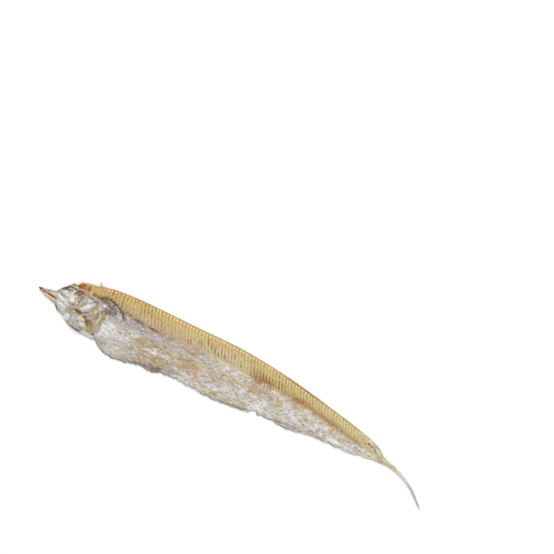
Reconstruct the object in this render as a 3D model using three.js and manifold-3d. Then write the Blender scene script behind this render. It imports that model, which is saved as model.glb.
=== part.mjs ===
// A dried ribbonfish lying on its side, all one piece: a thick ribbed band along the back, a thin papery
// flank with a ragged belly edge, a pointed bony head and a tail that thins to a whip.
// Millimetres, +Z up. The fish runs along X from snout to tail, and its back is towards +Y.
// Outlines are measured from the straight line that joins the snout's tip to the tail's tip.

import * as THREE from "three";
import { LoftGeometry } from "three/addons/geometries/LoftGeometry.js";
import { mergeVertices } from "three/addons/utils/BufferGeometryUtils.js";
import Module from "manifold-3d";

const wasm = await Module();
wasm.setup();
const { smoothstep, lerp, degToRad } = THREE.MathUtils;

// Driving dimensions
const SNOUT_TIP = -1.2;
const TAIL_TIP = 400;
const RIB_PITCH = 3.35;
const RIB_COUNT = 88;
const FIRST_RIB = 52;
const LAST_RIB = FIRST_RIB + RIB_PITCH * RIB_COUNT;
const RIB_RELIEF = 0.45;
const RIB_LEAN = Math.tan(degToRad(27));
const EDGE_TOOTH = 0.3;
const SNOUT_LIFT = 2.6;
const TAIL_LIFT = 3.2;
const BELLY_RAGGED = 0.7;
const FLANK_WRINKLE = 0.4;
const HEAD_STATIONS = 24;
const TAIL_STATIONS = 18;
const SEED = 41;

// Stretches of the length over which one form passes into the next
const HEAD_TO_BODY = [44, 72];
const FLANK_BEGINS = [70, 90];
const FLANK_ENDS = [320, 350];
const RIBS_BEGIN = [FIRST_RIB, FIRST_RIB + 10];
const RIBS_END = [LAST_RIB - 15, LAST_RIB];
const LEAN_BEGINS = [FIRST_RIB, FIRST_RIB + 28];
const LEAN_ENDS = [LAST_RIB - 22, LAST_RIB];
const SNOUT_COMES_DOWN = [0, 45];
const TAIL_RISES = [330, TAIL_TIP];

// Edges of the outline, each point as [distance from the snout, height towards the back]
const BACK_EDGE = [
  [SNOUT_TIP, 0.5], [9, 3.3], [15.6, 5.6], [17.6, 9.2], [22.8, 16.4], [25, 18.8], [28.8, 19.3],
  [30.8, 23.2], [34.4, 25.2], [45, 27.9], [58, 32.2], [80, 35.9], [106, 38.3], [142, 40.8], [183, 44.1],
  [206, 44.4], [233, 43.3], [283, 38.6], [311, 35.3], [343, 28.2], [347.5, 25], [365, 21.5], [375, 18],
  [388, 10.6], [397, 3.5], [TAIL_TIP, 0.6],
];
const BELLY_EDGE = [
  [SNOUT_TIP, -0.4], [4, -1.7], [16, -2], [18.4, -4.1], [21.9, -9], [28.3, -9.8], [34.7, -14.2],
  [45.7, -16.8], [61, -16.3], [72, -18.8], [77, -21.3], [92, -21.8], [110, -16.4], [127, -14.4],
  [134, -11.7], [164, -8.7], [183, -8.5], [210, -4.6], [233, 0.5], [260, 2.7], [274, 6.8], [311, 11.1],
  [353, 18.3], [366, 17.2], [382, 11.6], [388, 7.8], [397, 1.2], [TAIL_TIP, -0.7],
];
// The seam where the ribbed band meets the flank
const SEAM = [
  [SNOUT_TIP, 0.05], [18, 2.5], [30, 7], [45, 14], [56, 21.5], [64, 22.8], [76, 20.5], [102, 19.8],
  [122, 20.8], [146, 23.7], [187, 27.4], [206, 26.2], [247, 29], [301, 24.8], [347, 19.9], [366, 19.3],
  [388, 9.2], [397, 2.4], [TAIL_TIP, -0.05],
];
// How thick the fish is along its length, as a share of its thickness at mid body
const THICKNESS = [
  [SNOUT_TIP, 0.24], [4, 0.42], [17, 0.66], [30, 1.2], [45, 1.5], [62, 1.42], [85, 1.15], [130, 1],
  [250, 0.95], [320, 0.8], [347, 0.6], [366, 0.42], [383, 0.36], [TAIL_TIP, 0.22],
];

// Heights across the fish at mid body. Each place runs from 0 at the back edge, over 1 at the seam, to 2 at
// the belly edge, and is followed by the height over the table.
const BODY_TOP = [
  [0, 2.9], [0.16, 5], [0.5, 6.6], [0.85, 5.8], [1, 4.5], [1.14, 5.1], [1.4, 4.7], [1.65, 3.8],
  [1.87, 2.9], [2, 2.4],
];
const HEAD_TOP = [
  [0, 2.4], [0.16, 4.2], [0.5, 5.6], [0.85, 6.1], [1, 6.2], [1.14, 6.2], [1.4, 6], [1.65, 5.2],
  [1.87, 3.8], [2, 2.5],
];
const UNDERSIDE = [[2, 1.5], [1.87, 0.9], [1.55, 0], [1, 0], [0.5, 0], [0.16, 0.7], [0, 1.7]];

// Tears in the belly edge: where each is, half its width and how far it cuts in
const TEARS = [
  { x: 66.5, half: 4, depth: 2.6 },
  { x: 148.5, half: 2.4, depth: 1.6 },
  { x: 224.5, half: 4.5, depth: 3.4 },
];

// Bony plates that stand out of the head: the middle of each, half its length, width and height, and its turn
const HEAD_PLATES = [
  { x: 26.5, y: 9.5, long: 9, wide: 4.6, high: 1.3, turn: 24 },
  { x: 34.8, y: 21.8, long: 6, wide: 3.3, high: 1.5, turn: 24 },
  { x: 45.2, y: 6.8, long: 7.6, wide: 3.5, high: 1.7, turn: 43 },
  { x: 43.8, y: -10.6, long: 8, wide: 5, high: 1.6, turn: -8 },
  { x: 26.6, y: -6.6, long: 6.4, wide: 2.5, high: 1.3, turn: -14 },
  { x: 62.4, y: -1, long: 11.5, wide: 1.9, high: 1.3, turn: 100 },
];
const GILL_GAP = { x: 55.6, y: -7, long: 7.8, wide: 2.4, high: 2.2, turn: -40 };
const GILL_FOLD = [[52, 18.4], [56.6, 23], [64, 22.8], [73, 19.6], [80.5, 13.6]];
const GILL_FOLD_RADIUS = 0.8;
const LOWER_JAW = { from: [5, -1.7], to: [25, -4.2], half: [0.9, 2.4], high: [0.9, 2], lift: [2.8, 3.2] };
const FIN_SPINE = { x: 47.2, y: 30, length: 7, radius: 1.1, turn: 14 };

// A smooth value along the fish through a few [distance, value] points
function along(points) {
  const distances = points.map((point) => point[0]);
  const values = points.map((point) => point[1]);
  const curve = new THREE.CubicInterpolant(distances, values, 1);
  return (x) => curve.evaluate(x)[0];
}

// Straight steps between [place, value] points
function between(points) {
  const places = points.map((point) => point[0]);
  const values = points.map((point) => point[1]);
  const line = new THREE.LinearInterpolant(places, values, 1);
  return (place) => line.evaluate(place)[0];
}

// The same run of random numbers between 0 and 1 on every build
function seeded(seed) {
  const modulus = 2147483647;
  let state = seed;
  return () => {
    state = (state * 16807) % modulus;
    return state / modulus;
  };
}

const backEdge = along(BACK_EDGE);
const bellyEdge = along(BELLY_EDGE);
const seam = along(SEAM);
const thickness = along(THICKNESS);
const bodyTop = between(BODY_TOP);
const headTop = between(HEAD_TOP);

// From 0 before a stretch to 1 after it, and a form that lasts from one stretch to another
const past = (x, [from, to]) => smoothstep(x, from, to);
const within = (x, begins, ends) => past(x, begins) * (1 - past(x, ends));

const headShare = (x) => 1 - past(x, HEAD_TO_BODY);
const flankShare = (x) => within(x, FLANK_BEGINS, FLANK_ENDS);
const ribShare = (x) => within(x, RIBS_BEGIN, RIBS_END);
const leanShare = (x) => within(x, LEAN_BEGINS, LEAN_ENDS);
const lift = (x) => SNOUT_LIFT * (1 - past(x, SNOUT_COMES_DOWN)) + TAIL_LIFT * past(x, TAIL_RISES);
const bellyFrill = (x) => (0.7 * Math.sin(x / 21) + 0.4 * Math.sin(x / 8.3 + 1)) * flankShare(x);

// Folds that run lengthwise along the flank, out of step with each other across it
function flankWrinkle(x, place) {
  const across = place > 1 && place < 2 ? 1 : 0;
  const fold = Math.sin(x / 6.7 + place * 37) + 0.7 * Math.sin(x / 17 + place * 11);
  return across * FLANK_WRINKLE * fold * flankShare(x);
}

// How far the tears cut into the belly edge
function tornAway(x) {
  let cut = 0;
  for (const tear of TEARS) {
    cut += tear.depth * Math.max(0, 1 - Math.abs(x - tear.x) / tear.half);
  }
  return cut;
}

// Height of the bare top, before ribs and wrinkles, at a place across the fish
function topHeight(x, place) {
  const height = lerp(bodyTop(place), headTop(place), headShare(x));
  return height * thickness(x) + lift(x);
}

// Distances along the back at which the fish is cut into sections, two for each rib
function stations() {
  const list = [];
  for (let i = 0; i < HEAD_STATIONS; i++) {
    list.push(lerp(SNOUT_TIP, FIRST_RIB, i / HEAD_STATIONS));
  }
  for (let i = 0; i < RIB_COUNT * 2; i++) {
    list.push(FIRST_RIB + RIB_PITCH * i / 2);
  }
  for (let i = 0; i <= TAIL_STATIONS; i++) {
    list.push(lerp(LAST_RIB, TAIL_TIP, i / TAIL_STATIONS));
  }
  return list;
}

// One closed section: over the top from back to belly, then along the underside to the back again.
// A section leans towards the tail as it goes down, so that it follows a rib.
function section(xBack, crest, random) {
  const ribs = ribShare(xBack);
  const leanX = RIB_LEAN * (backEdge(xBack) - seam(xBack)) * leanShare(xBack);
  const xLow = Math.min(xBack + leanX, TAIL_TIP);
  const back = backEdge(xBack) + ribs * EDGE_TOOTH * crest;
  const middle = seam(xLow);
  const ragged = (random() - 0.5) * 2 * BELLY_RAGGED * flankShare(xLow);
  const belly = bellyEdge(xLow) + ragged + tornAway(xLow);
  const frill = bellyFrill(xLow);

  const spot = (place, z) => {
    const x = place <= 1 ? lerp(xBack, xLow, place) : xLow;
    const y = place <= 1 ? lerp(back, middle, place) : lerp(middle, belly, place - 1);
    const frillHere = frill * smoothstep(place, 1.6, 2);
    return new THREE.Vector3(x, y, z + frillHere);
  };
  const ribHere = (place) => ribs * RIB_RELIEF * crest * smoothstep(1 - place, 0.05, 0.5);
  const points = [];
  for (const [place] of BODY_TOP) {
    points.push(spot(place, topHeight(xBack, place) + ribHere(place) + flankWrinkle(xLow, place)));
  }
  for (const [place, height] of UNDERSIDE) {
    const ribBelow = place > 0 && place < 1 ? ribs * RIB_RELIEF * (1 - crest) / 2 : 0;
    points.push(spot(place, height * thickness(xBack) + lift(xBack) + ribBelow));
  }
  return points;
}

// A closed geometry as a solid that can be joined and cut
function toSolid(geometry) {
  const bare = new THREE.BufferGeometry();
  bare.setAttribute("position", geometry.attributes.position);
  bare.setIndex(geometry.index);
  const merged = mergeVertices(bare, 1e-4);
  return new wasm.Manifold(new wasm.Mesh({
    numProp: 3,
    vertProperties: new Float32Array(merged.attributes.position.array),
    triVerts: new Uint32Array(merged.index.array),
  }));
}

function toGeometry(solid) {
  const mesh = solid.getMesh();
  const geometry = new THREE.BufferGeometry();
  geometry.setAttribute("position", new THREE.BufferAttribute(mesh.vertProperties, 3));
  geometry.setIndex(new THREE.BufferAttribute(mesh.triVerts, 1));
  return geometry;
}

// Ribbed body, from snout to tail
function bodySolid() {
  const random = seeded(SEED);
  const sections = stations().map((x, i) => section(x, (i - HEAD_STATIONS) % 2 === 0 ? 1 : -1, random));
  return toSolid(new LoftGeometry(sections, { capStart: true, capEnd: true }));
}

// Where a point of the outline lies across the fish, from 0 at the back edge to 2 at the belly edge
function placeAcross(x, y) {
  if (y > seam(x)) {
    return (backEdge(x) - y) / (backEdge(x) - seam(x));
  }
  return 1 + (seam(x) - y) / (seam(x) - bellyEdge(x));
}

const surfaceAt = (x, y) => topHeight(x, placeAcross(x, y));

// A flat oval lump with its middle in the head's surface
function plateSolid(plate) {
  const geometry = new THREE.SphereGeometry(1, 16, 8);
  geometry.rotateX(Math.PI / 2);
  geometry.scale(plate.long, plate.wide, plate.high);
  geometry.rotateZ(degToRad(plate.turn));
  geometry.translate(plate.x, plate.y, surfaceAt(plate.x, plate.y));
  return toSolid(geometry);
}

// The groove along the upper edge of the gill cover
function gillFoldSolid() {
  const path = GILL_FOLD.map(([x, y]) => new THREE.Vector3(x, y, surfaceAt(x, y) + GILL_FOLD_RADIUS / 2));
  const round = new THREE.Shape();
  round.absarc(0, 0, GILL_FOLD_RADIUS, 0, Math.PI * 2);
  return toSolid(new THREE.ExtrudeGeometry(round, {
    curveSegments: 4,
    steps: 16,
    bevelEnabled: false,
    extrudePath: new THREE.CatmullRomCurve3(path),
  }));
}

// The thin lower jaw under the mouth
function lowerJawSolid() {
  const rows = 8;
  const sides = 10;
  const rings = [];
  for (let i = 0; i <= rows; i++) {
    const t = i / rows;
    const ring = [];
    for (let j = 0; j < sides; j++) {
      const angle = Math.PI * 2 * j / sides;
      const y = lerp(LOWER_JAW.from[1], LOWER_JAW.to[1], t) + lerp(...LOWER_JAW.half, t) * Math.cos(angle);
      const z = lerp(...LOWER_JAW.lift, t) + lerp(...LOWER_JAW.high, t) * Math.sin(angle);
      ring.push(new THREE.Vector3(lerp(LOWER_JAW.from[0], LOWER_JAW.to[0], t), y, z));
    }
    rings.push(ring);
  }
  return toSolid(new LoftGeometry(rings, { capStart: true, capEnd: true }));
}

// The stub of the first fin spine on the nape
function finSpineSolid() {
  const geometry = new THREE.ConeGeometry(FIN_SPINE.radius, FIN_SPINE.length, 8);
  geometry.rotateZ(degToRad(FIN_SPINE.turn));
  geometry.translate(FIN_SPINE.x, FIN_SPINE.y, surfaceAt(FIN_SPINE.x, backEdge(FIN_SPINE.x)));
  return toSolid(geometry);
}

function fishSolid() {
  let fish = bodySolid();
  for (const plate of HEAD_PLATES) {
    fish = fish.add(plateSolid(plate));
  }
  return fish
    .add(lowerJawSolid())
    .add(finSpineSolid())
    .subtract(plateSolid(GILL_GAP))
    .subtract(gillFoldSolid());
}

// The fish, with its origin under the middle of its outline
const geometry = toGeometry(fishSolid());
geometry.computeBoundingBox();
const middle = geometry.boundingBox.getCenter(new THREE.Vector3());
geometry.translate(-middle.x, -middle.y, -geometry.boundingBox.min.z);
geometry.computeVertexNormals();

const drySkin = new THREE.MeshStandardMaterial({ color: 0xbdae8a, roughness: 0.6, metalness: 0 });
const fish = new THREE.Mesh(geometry, drySkin);
fish.name = "ribbonfish";

const part = new THREE.Group();
part.add(fish);

export default part;
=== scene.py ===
# %% [markdown]
# # A dried ribbonfish, piece by piece
# A ribbonfish is a long flat fish without scales. Pressed flat and dried in the sun, its back shrinks into
# a row of slanting ribs, its silver skin turns papery and flakes, and the bones of its head stand out as
# thin plates. One solid fixes the outline and the thickness. Everything below is read from that solid or
# laid on it, so the dressed fish keeps its size.

# %% Load the frame
import math

import bpy
import numpy as np
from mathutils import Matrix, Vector
from mathutils.bvhtree import BVHTree


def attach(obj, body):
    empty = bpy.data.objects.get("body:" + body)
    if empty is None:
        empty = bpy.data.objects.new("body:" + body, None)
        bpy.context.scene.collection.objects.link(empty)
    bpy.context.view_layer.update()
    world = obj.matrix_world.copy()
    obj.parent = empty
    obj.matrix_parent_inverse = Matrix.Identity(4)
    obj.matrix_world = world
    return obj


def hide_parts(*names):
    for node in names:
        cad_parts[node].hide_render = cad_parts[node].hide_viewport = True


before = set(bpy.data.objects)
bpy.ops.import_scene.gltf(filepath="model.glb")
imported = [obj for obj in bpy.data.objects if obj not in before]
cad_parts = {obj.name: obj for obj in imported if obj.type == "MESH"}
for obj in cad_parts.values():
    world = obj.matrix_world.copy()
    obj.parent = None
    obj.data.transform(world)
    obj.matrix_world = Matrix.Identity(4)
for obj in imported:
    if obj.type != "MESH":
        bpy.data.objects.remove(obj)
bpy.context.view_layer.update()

MM = 0.001
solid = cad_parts["ribbonfish"]

# %% [markdown]
# ## A measuring line
# Places on a fish are easiest to give as a maker would: so many millimetres from the snout and so many
# towards the back. The straight line from the snout's tip to the tail's tip is the zero for both. The
# solid's foremost points say where that line starts in the frame.

# %% Measuring line
TIP_AHEAD = 1.2
TIP_HEIGHT = 0.05


def numbers_of(collection, label, width, kind):
    """One property of every vertex or face, as an array with so many numbers a row."""
    flat = np.empty(len(collection) * width, dtype=kind)
    collection.foreach_get(label, flat)
    return flat.reshape(-1, width)


solid_points = numbers_of(solid.data.vertices, "co", 3, np.float32) / MM
solid_faces = numbers_of(solid.data.polygons, "vertices", 3, np.int32)
foremost = solid_points[:, 0].min()
at_tip = solid_points[:, 0] < foremost + 0.01
ZERO = np.array([foremost + TIP_AHEAD, solid_points[at_tip, 1].mean() - TIP_HEIGHT, 0])
solid_points = solid_points - ZERO


def in_frame(points):
    """Points in millimetres on the fish, as points of the frame in metres."""
    return (np.asarray(points) + ZERO) * MM


print("the fish runs from", solid_points[:, 0].min().round(1), "to", solid_points[:, 0].max().round(1), "mm")

# %% [markdown]
# ## The outline
# The skin has to follow the solid's edge exactly. It could be remeshed from the solid, but an even grid
# that runs along the fish and across it is far easier to carve and to colour. So the solid is cut at many
# stations along its length, and each cut gives one point of the back edge and one of the belly edge. A
# median keeps the outline from jumping out along the stub of the fin spine, which is a piece of its own.

# %% Outline
STATIONS = 800
END_GAP = 0.03
SPINE_WINDOW = 21
edge_starts = solid_points[solid_faces.ravel()]
edge_ends = solid_points[np.roll(solid_faces, -1, axis=1).ravel()]


def cut_at(length):
    """How far the solid reaches towards its back and its belly at a length."""
    crossing = (edge_starts[:, 0] - length) * (edge_ends[:, 0] - length) < 0
    start = edge_starts[crossing]
    end = edge_ends[crossing]
    share = (length - start[:, 0]) / (end[:, 0] - start[:, 0])
    across = start[:, 1] + (end[:, 1] - start[:, 1]) * share
    return across.max(), across.min()


def without_spikes(line, window):
    """A line of numbers with everything narrower than half the window taken off."""
    padded = np.pad(line, window // 2, mode="edge")
    return np.median(np.lib.stride_tricks.sliding_window_view(padded, window), axis=1)


along = np.linspace(solid_points[:, 0].min() + END_GAP, solid_points[:, 0].max() - END_GAP, STATIONS)
cuts = np.array([cut_at(length) for length in along])
back = without_spikes(cuts[:, 0], SPINE_WINDOW)
belly = cuts[:, 1]
print("deepest", (back - belly).max().round(1), "mm at", along[(back - belly).argmax()].round(), "mm")

# %% [markdown]
# ## The seam
# The ribbed band of the back meets the thin flank along one seam. A place across the fish is counted from
# it: 0 is the back edge, 1 the seam and 2 the belly edge. Grid lines at equal places then run along the
# band and the flank as the muscles and the skin do.

# %% Seam
SEAM = (
    (-1.2, 0.05), (18, 2.5), (30, 7), (45, 14), (56, 21.5), (64, 22.8), (76, 20.5), (102, 19.8), (122, 20.8),
    (146, 23.7), (187, 27.4), (206, 26.2), (247, 29), (301, 24.8), (347, 19.9), (366, 19.3), (388, 9.2),
    (397, 2.4), (400, -0.05),
)
LEAST_SHARE = 0.15
SEAM_ROUNDING = 15


def column(line):
    """A line of numbers as a column, one row for each number."""
    return line[:, None]


def soften(grid, reach):
    """Averages a grid along the fish over a number of stations."""
    before = reach // 2
    padded = np.pad(grid, ((before, reach - 1 - before), (0, 0)), mode="edge")
    sums = np.cumsum(np.vstack([np.zeros((1, grid.shape[1])), padded]), axis=0)
    return (sums[reach:] - sums[:-reach]) / reach


depth = back - belly
seam = soften(column(np.interp(along, *zip(*SEAM))), SEAM_ROUNDING)[:, 0]
seam = np.clip(seam, belly + LEAST_SHARE * depth, back - LEAST_SHARE * depth)


def across_at(places):
    """Heights over the measuring line for places across the fish, one row for each station."""
    in_band = np.clip(places, 0, 1)
    in_flank = np.clip(places - 1, 0, 1)
    return column(back) + column(seam - back) * in_band + column(belly - seam) * in_flank


def place_of(length, across):
    """The place across the fish of any point, from 0 at the back edge to 2 at the belly edge."""
    back_here, seam_here, belly_here = (np.interp(length, along, line) for line in (back, seam, belly))
    in_band = (back_here - across) / (back_here - seam_here)
    in_flank = 1 + (seam_here - across) / (seam_here - belly_here)
    return np.clip(np.where(across > seam_here, in_band, in_flank), 0, 2)


print("the band is", (back - seam).max().round(1), "mm wide and the flank", (seam - belly).max().round(1))

# %% [markdown]
# ## The thickness
# A ray sent down on the solid finds its upper face, and a ray sent up finds its underside. The solid's ribs
# are averaged away over one rib's pitch, because finer ones are laid on later. The head keeps its bumps.

# %% Heights of both faces
BAND_COLUMNS = 26
FLANK_COLUMNS = 54
UNDER_SHARE = 2
RAY_START = 40
EDGE_INSET = 0.012
RIB_PITCH = 3.35
HEAD_END = (50, 68)
BUMP_ROUNDING = 3
STATION_STEP = along[1] - along[0]
surface = BVHTree.FromPolygons(solid_points.tolist(), solid_faces.tolist())


def places_across(coarser):
    """Places from the back edge to the belly edge, so many times coarser than the finest grid."""
    band = np.linspace(0, 1, BAND_COLUMNS // coarser + 1)
    flank = np.linspace(1, 2, FLANK_COLUMNS // coarser + 1)
    return np.concatenate([band[:-1], flank])


def ramp(value, start, end):
    """0 before start, 1 after end, and a smooth rise between them."""
    share = np.clip((value - start) / (end - start), 0, 1)
    return share * share * (3 - 2 * share)


def between(value, rise, fall):
    """1 between a rise and a fall, each a pair of numbers."""
    return ramp(value, *rise) * (1 - ramp(value, *fall))


def face_heights(places, side):
    """Heights of the solid's upper face (side 1) or underside (side -1) on the grid."""
    rows = across_at(places)
    middle = column(back + belly) / 2
    rows = middle + (rows - middle) * (1 - EDGE_INSET)
    found = np.full(rows.shape, np.nan)
    for i, length in enumerate(along):
        for j, across in enumerate(rows[i]):
            hit = surface.ray_cast((length, across, side * RAY_START), (0, 0, -side))[0]
            if hit is not None:
                found[i, j] = hit.z
        known = ~np.isnan(found[i])
        found[i] = np.interp(places, places[known], found[i, known])
    even = soften(found, round(RIB_PITCH / STATION_STEP))
    body = column(ramp(along, *HEAD_END))
    rounded = soften(found, BUMP_ROUNDING) * (1 - body) + even * body
    return soften(rounded.T, BUMP_ROUNDING).T


top_places = places_across(1)
under_places = places_across(UNDER_SHARE)
top = face_heights(top_places, 1)
under = face_heights(under_places, -1)
print("upper face from", top.min().round(2), "to", top.max().round(2), "mm high")

# %% [markdown]
# ## Crumpled skin
# Dried skin shrinks over the muscle below it and is thrown into fine lengthwise creases with sharp crests.
# Smooth random bumps give soft hills. Folding them about zero turns the hills into crests and gullies, and
# stretching them along the fish makes them run with the muscle. The random table is seeded, so every run
# gives the same fish.

# %% Crumple
LATTICE = 128
FLANK_RISE = (64, 84)
FLANK_FALL = (330, 352)
FLANK_START = (1.0, 1.12)
EDGE_FADE = (0.1, 1.8)


def hills(u, v, seed):
    """Smooth random heights from -1 to 1, one hill to a unit each way."""
    table = np.random.default_rng(seed).uniform(-1, 1, (LATTICE, LATTICE))
    low_u = np.floor(u).astype(int)
    low_v = np.floor(v).astype(int)
    part_u = ramp(u - low_u, 0, 1)
    part_v = ramp(v - low_v, 0, 1)

    def row(step):
        """Heights along one row of the table."""
        line = (low_v + step) % LATTICE
        return table[low_u % LATTICE, line] * (1 - part_u) + table[(low_u + 1) % LATTICE, line] * part_u

    return row(0) * (1 - part_v) + row(1) * part_v


def crests(u, v, seed):
    """Sharp crests with gullies between them: 1 on a crest, down to -2 in the deepest gully."""
    return 1 - 3 * np.abs(hills(u + 0.6 * hills(u * 0.7, v * 0.7, seed + 1), v, seed))


def skin_crests(length, drop):
    """Crests of two sizes on the flank. They climb a little towards the tail."""
    long_crests = crests(length / 6.0, drop / 2.5 + length / 16, 11)
    short_crests = crests(length / 2.7, drop / 1.7 + length / 9, 12)
    return 0.5 * long_crests + 0.5 * short_crests


top_along = np.repeat(column(along), len(top_places), axis=1)
top_across = across_at(top_places)
top_drop = column(seam) - top_across
flank_share = ramp(top_places, *FLANK_START) * between(top_along, FLANK_RISE, FLANK_FALL)
edge_share = ramp(np.minimum(column(back) - top_across, top_across - column(belly)), *EDGE_FADE)
crinkle = skin_crests(top_along, top_drop)
lumps = hills(top_along / 13, top_drop / 7, 13)
print("crests:", round(float((crinkle > 0.4).mean() * 100)), "percent of the skin")

# %% [markdown]
# ## Creases of the head
# Between the bones of the head the skin has sunk into narrow creases: the mouth, the rims of the plates,
# the gill opening and the fold over the gill cover. Each is a line of a few points. The distance of every
# grid point to that line carves a groove of the line's own width and depth, and darkens the groove with
# painted shade.

# %% Creases
CREASES = (
    # width, depth, points
    (0.55, 0.7, ((3.5, -0.2), (10, -0.6), (18, -0.9))),
    (0.45, 0.5, ((18, -0.9), (25, -1.2), (31, -2))),
    (0.45, 0.4, ((15.4, 6), (20, 5.6), (25, 4.9), (29, 3.6), (31.6, 1.6))),
    (0.6, 0.5, ((22.6, 14.6), (27, 15.2), (32, 15.3), (37.6, 15.9))),
    (0.7, 0.5, ((34, 12.6), (36, 8.6), (37.8, 4.6), (35, 1.4))),
    (0.5, 0.4, ((38, 14.6), (39.2, 10.6), (38.6, 6.6))),
    (0.6, 0.6, ((41, 2.6), (42.6, 6.2), (46.6, 10.2), (49.2, 12.6))),
    (0.5, 0.5, ((42.4, -0.1), (46, 0.5), (49.2, 2.8), (51.6, 6.6), (52.8, 11.2))),
    (0.6, 0.7, ((49, -3.2), (51.4, -4.8), (53.4, -7), (55.4, -10.4), (58, -13))),
    (0.6, 0.5, ((36.2, -9), (37.4, -6.4), (41, -5.2))),
    (0.5, 0.5, ((38, -15.4), (43, -16.4), (48, -16.6), (51.6, -15), (52.4, -11.6))),
    (0.8, 0.6, ((32.4, -3.4), (34.6, -4.8), (36, -5.6))),
    (0.8, 0.7, ((37.6, -1.6), (41, -1.6), (45, -0.6))),
    (0.6, 0.5, ((62.2, 9), (62.6, 2), (62.2, -4), (62.8, -12.4))),
    (0.6, 0.5, ((57.2, 9), (57, 3), (56.6, 0))),
    (0.5, 0.4, ((59.8, 7), (59.8, 0), (60, -5))),
    (1.1, 1.1, ((52, 18.4), (56.6, 23), (64, 22.8), (73, 19.6), (80.5, 13.6))),
    (0.5, 0.4, ((69, 18.8), (73.6, 15.4), (76.6, 11.6))),
    (0.6, 0.5, ((31.8, -7), (31, -9.6), (32.6, -13))),
)
GROOVE_REACH = 1.6
DARK_REACH = 1.5


def line_distance(length, across, points):
    """The distance of every grid point to a line of straight stretches."""
    nearest = np.full(np.shape(length), 1e6)
    for (x0, y0), (x1, y1) in zip(points, points[1:]):
        run = (x1 - x0) ** 2 + (y1 - y0) ** 2
        share = np.clip(((length - x0) * (x1 - x0) + (across - y0) * (y1 - y0)) / run, 0, 1)
        gap = np.hypot(length - x0 - share * (x1 - x0), across - y0 - share * (y1 - y0))
        nearest = np.minimum(nearest, gap)
    return nearest


def crease_depth(length, across):
    """How deep the creases of the head cut, and how much painted shade darkens them, from 0 to 1."""
    sunk = np.zeros(np.shape(length))
    dark = np.zeros(np.shape(length))
    for width, deep, points in CREASES:
        gap = line_distance(length, across, points) + 0.3 * hills(length / 1.7, across / 1.7, 31)
        sunk = np.maximum(sunk, deep * (1 - ramp(gap, 0, GROOVE_REACH * width)))
        # painted shade: how dark each crease is painted
        dark = np.maximum(dark, 1 - ramp(gap, 0.1 * width, DARK_REACH * width))
    broken = 0.55 + 0.7 * hills(length / 3.1, across / 2.7, 32) + 0.3 * hills(length / 1.1, across / 1.1, 33)
    return sunk, dark * np.clip(broken, 0.05, 1)


crease_sunk = crease_depth(top_along, top_across)[0]
print(len(CREASES), "creases, the deepest", crease_sunk.max().round(2), "mm")

# %% [markdown]
# ## The relief of the skin
# The band dips between its ribs, the flank carries its crests, and the head is finely pitted. Relief dies
# away at both edges, so that the outline stays the solid's own.

# %% Relief
RIB_COUNT = 88
FIRST_RIB = 52
LAST_RIB = FIRST_RIB + RIB_PITCH * RIB_COUNT
RIB_LEAN = math.tan(math.radians(25))
CREST_HEIGHT = 0.34
LUMP_HEIGHT = 0.4
HEAD_PITTING = 0.22
BAND_DIP = 0.45
BAND_END = (0.94, 1.02)
HEAD_FADE = (56, 70)
LEAST_TOP = 0.8


def rib_share(length):
    """1 where the back is ribbed, fading out at the nape and before the tail."""
    return ramp(length, FIRST_RIB - 10, FIRST_RIB + 6) * (1 - ramp(length, LAST_RIB - 40, LAST_RIB - 6))


def lean_share(length):
    """How much of their full lean the ribs have: they stand upright at the nape and at the tail."""
    return ramp(length, FIRST_RIB - 20, FIRST_RIB + 60) * (1 - ramp(length, LAST_RIB - 22, LAST_RIB))


def rib_phase(length, across):
    """Counts ribs along the back. Whole numbers are crests, halves are the gaps between ribs."""
    root = length - RIB_LEAN * lean_share(length) * (np.interp(length, along, back) - across)
    return (root - FIRST_RIB) / RIB_PITCH


band_share = 1 - ramp(top_places, *BAND_END)
head_share = 1 - ramp(top_along, *HEAD_FADE)
ribbed = band_share * rib_share(top_along)
pitting = hills(top_along / 2.1, top_across / 1.6, 21) + 0.6 * crests(top_along / 3.3, top_across / 2.4, 22)
relief = flank_share * (CREST_HEIGHT * crinkle + LUMP_HEIGHT * lumps)
relief = relief + HEAD_PITTING * head_share * pitting * (1 - ribbed)
relief = relief - ribbed * BAND_DIP * (1 - np.cos(2 * np.pi * rib_phase(top_along, top_across))) / 2
top_face = np.maximum(top + edge_share * (relief - crease_sunk), LEAST_TOP)
print("relief from", relief.min().round(2), "to", relief.max().round(2), "mm")

# %% [markdown]
# The fish lies on its underside, so the relief there only goes inwards. Its band is hollowed a little more,
# because it gets ribs of its own. Both faces can then be sampled at any point by the pieces laid on them.

# %% Underside and sampling
UNDER_HOLLOW = 0.5
UNDER_CREST = 0.08
UNDER_BAND_END = (0.94, 1.06)
LEAST_THICKNESS = 0.3
under_along = np.repeat(column(along), len(under_places), axis=1)
under_across = across_at(under_places)
under_band = (1 - ramp(under_places, *UNDER_BAND_END)) * rib_share(under_along)
under_crests = crests(under_along / 8, (column(seam) - under_across) / 3, 14)
under_face = np.maximum(under, 0) + UNDER_HOLLOW * under_band + UNDER_CREST * (2 + under_crests)
under_face = np.minimum(under_face, top_face[:, ::UNDER_SHARE] - LEAST_THICKNESS)


def sample(grid, places, length, across):
    """The height of a face at any points of the fish."""
    i = np.clip(np.interp(length, along, np.arange(STATIONS)), 0, STATIONS - 1.001)
    j = np.clip(np.interp(place_of(length, across), places, np.arange(len(places))), 0, len(places) - 1.001)
    i0 = i.astype(int)
    j0 = j.astype(int)
    near = grid[i0, j0] * (1 - (j - j0)) + grid[i0, j0 + 1] * (j - j0)
    far = grid[i0 + 1, j0] * (1 - (j - j0)) + grid[i0 + 1, j0 + 1] * (j - j0)
    return near * (1 - (i - i0)) + far * (i - i0)


def skin_height(length, across):
    """The height of the upper face."""
    return sample(top_face, top_places, np.asarray(length, float), np.asarray(across, float))


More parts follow.
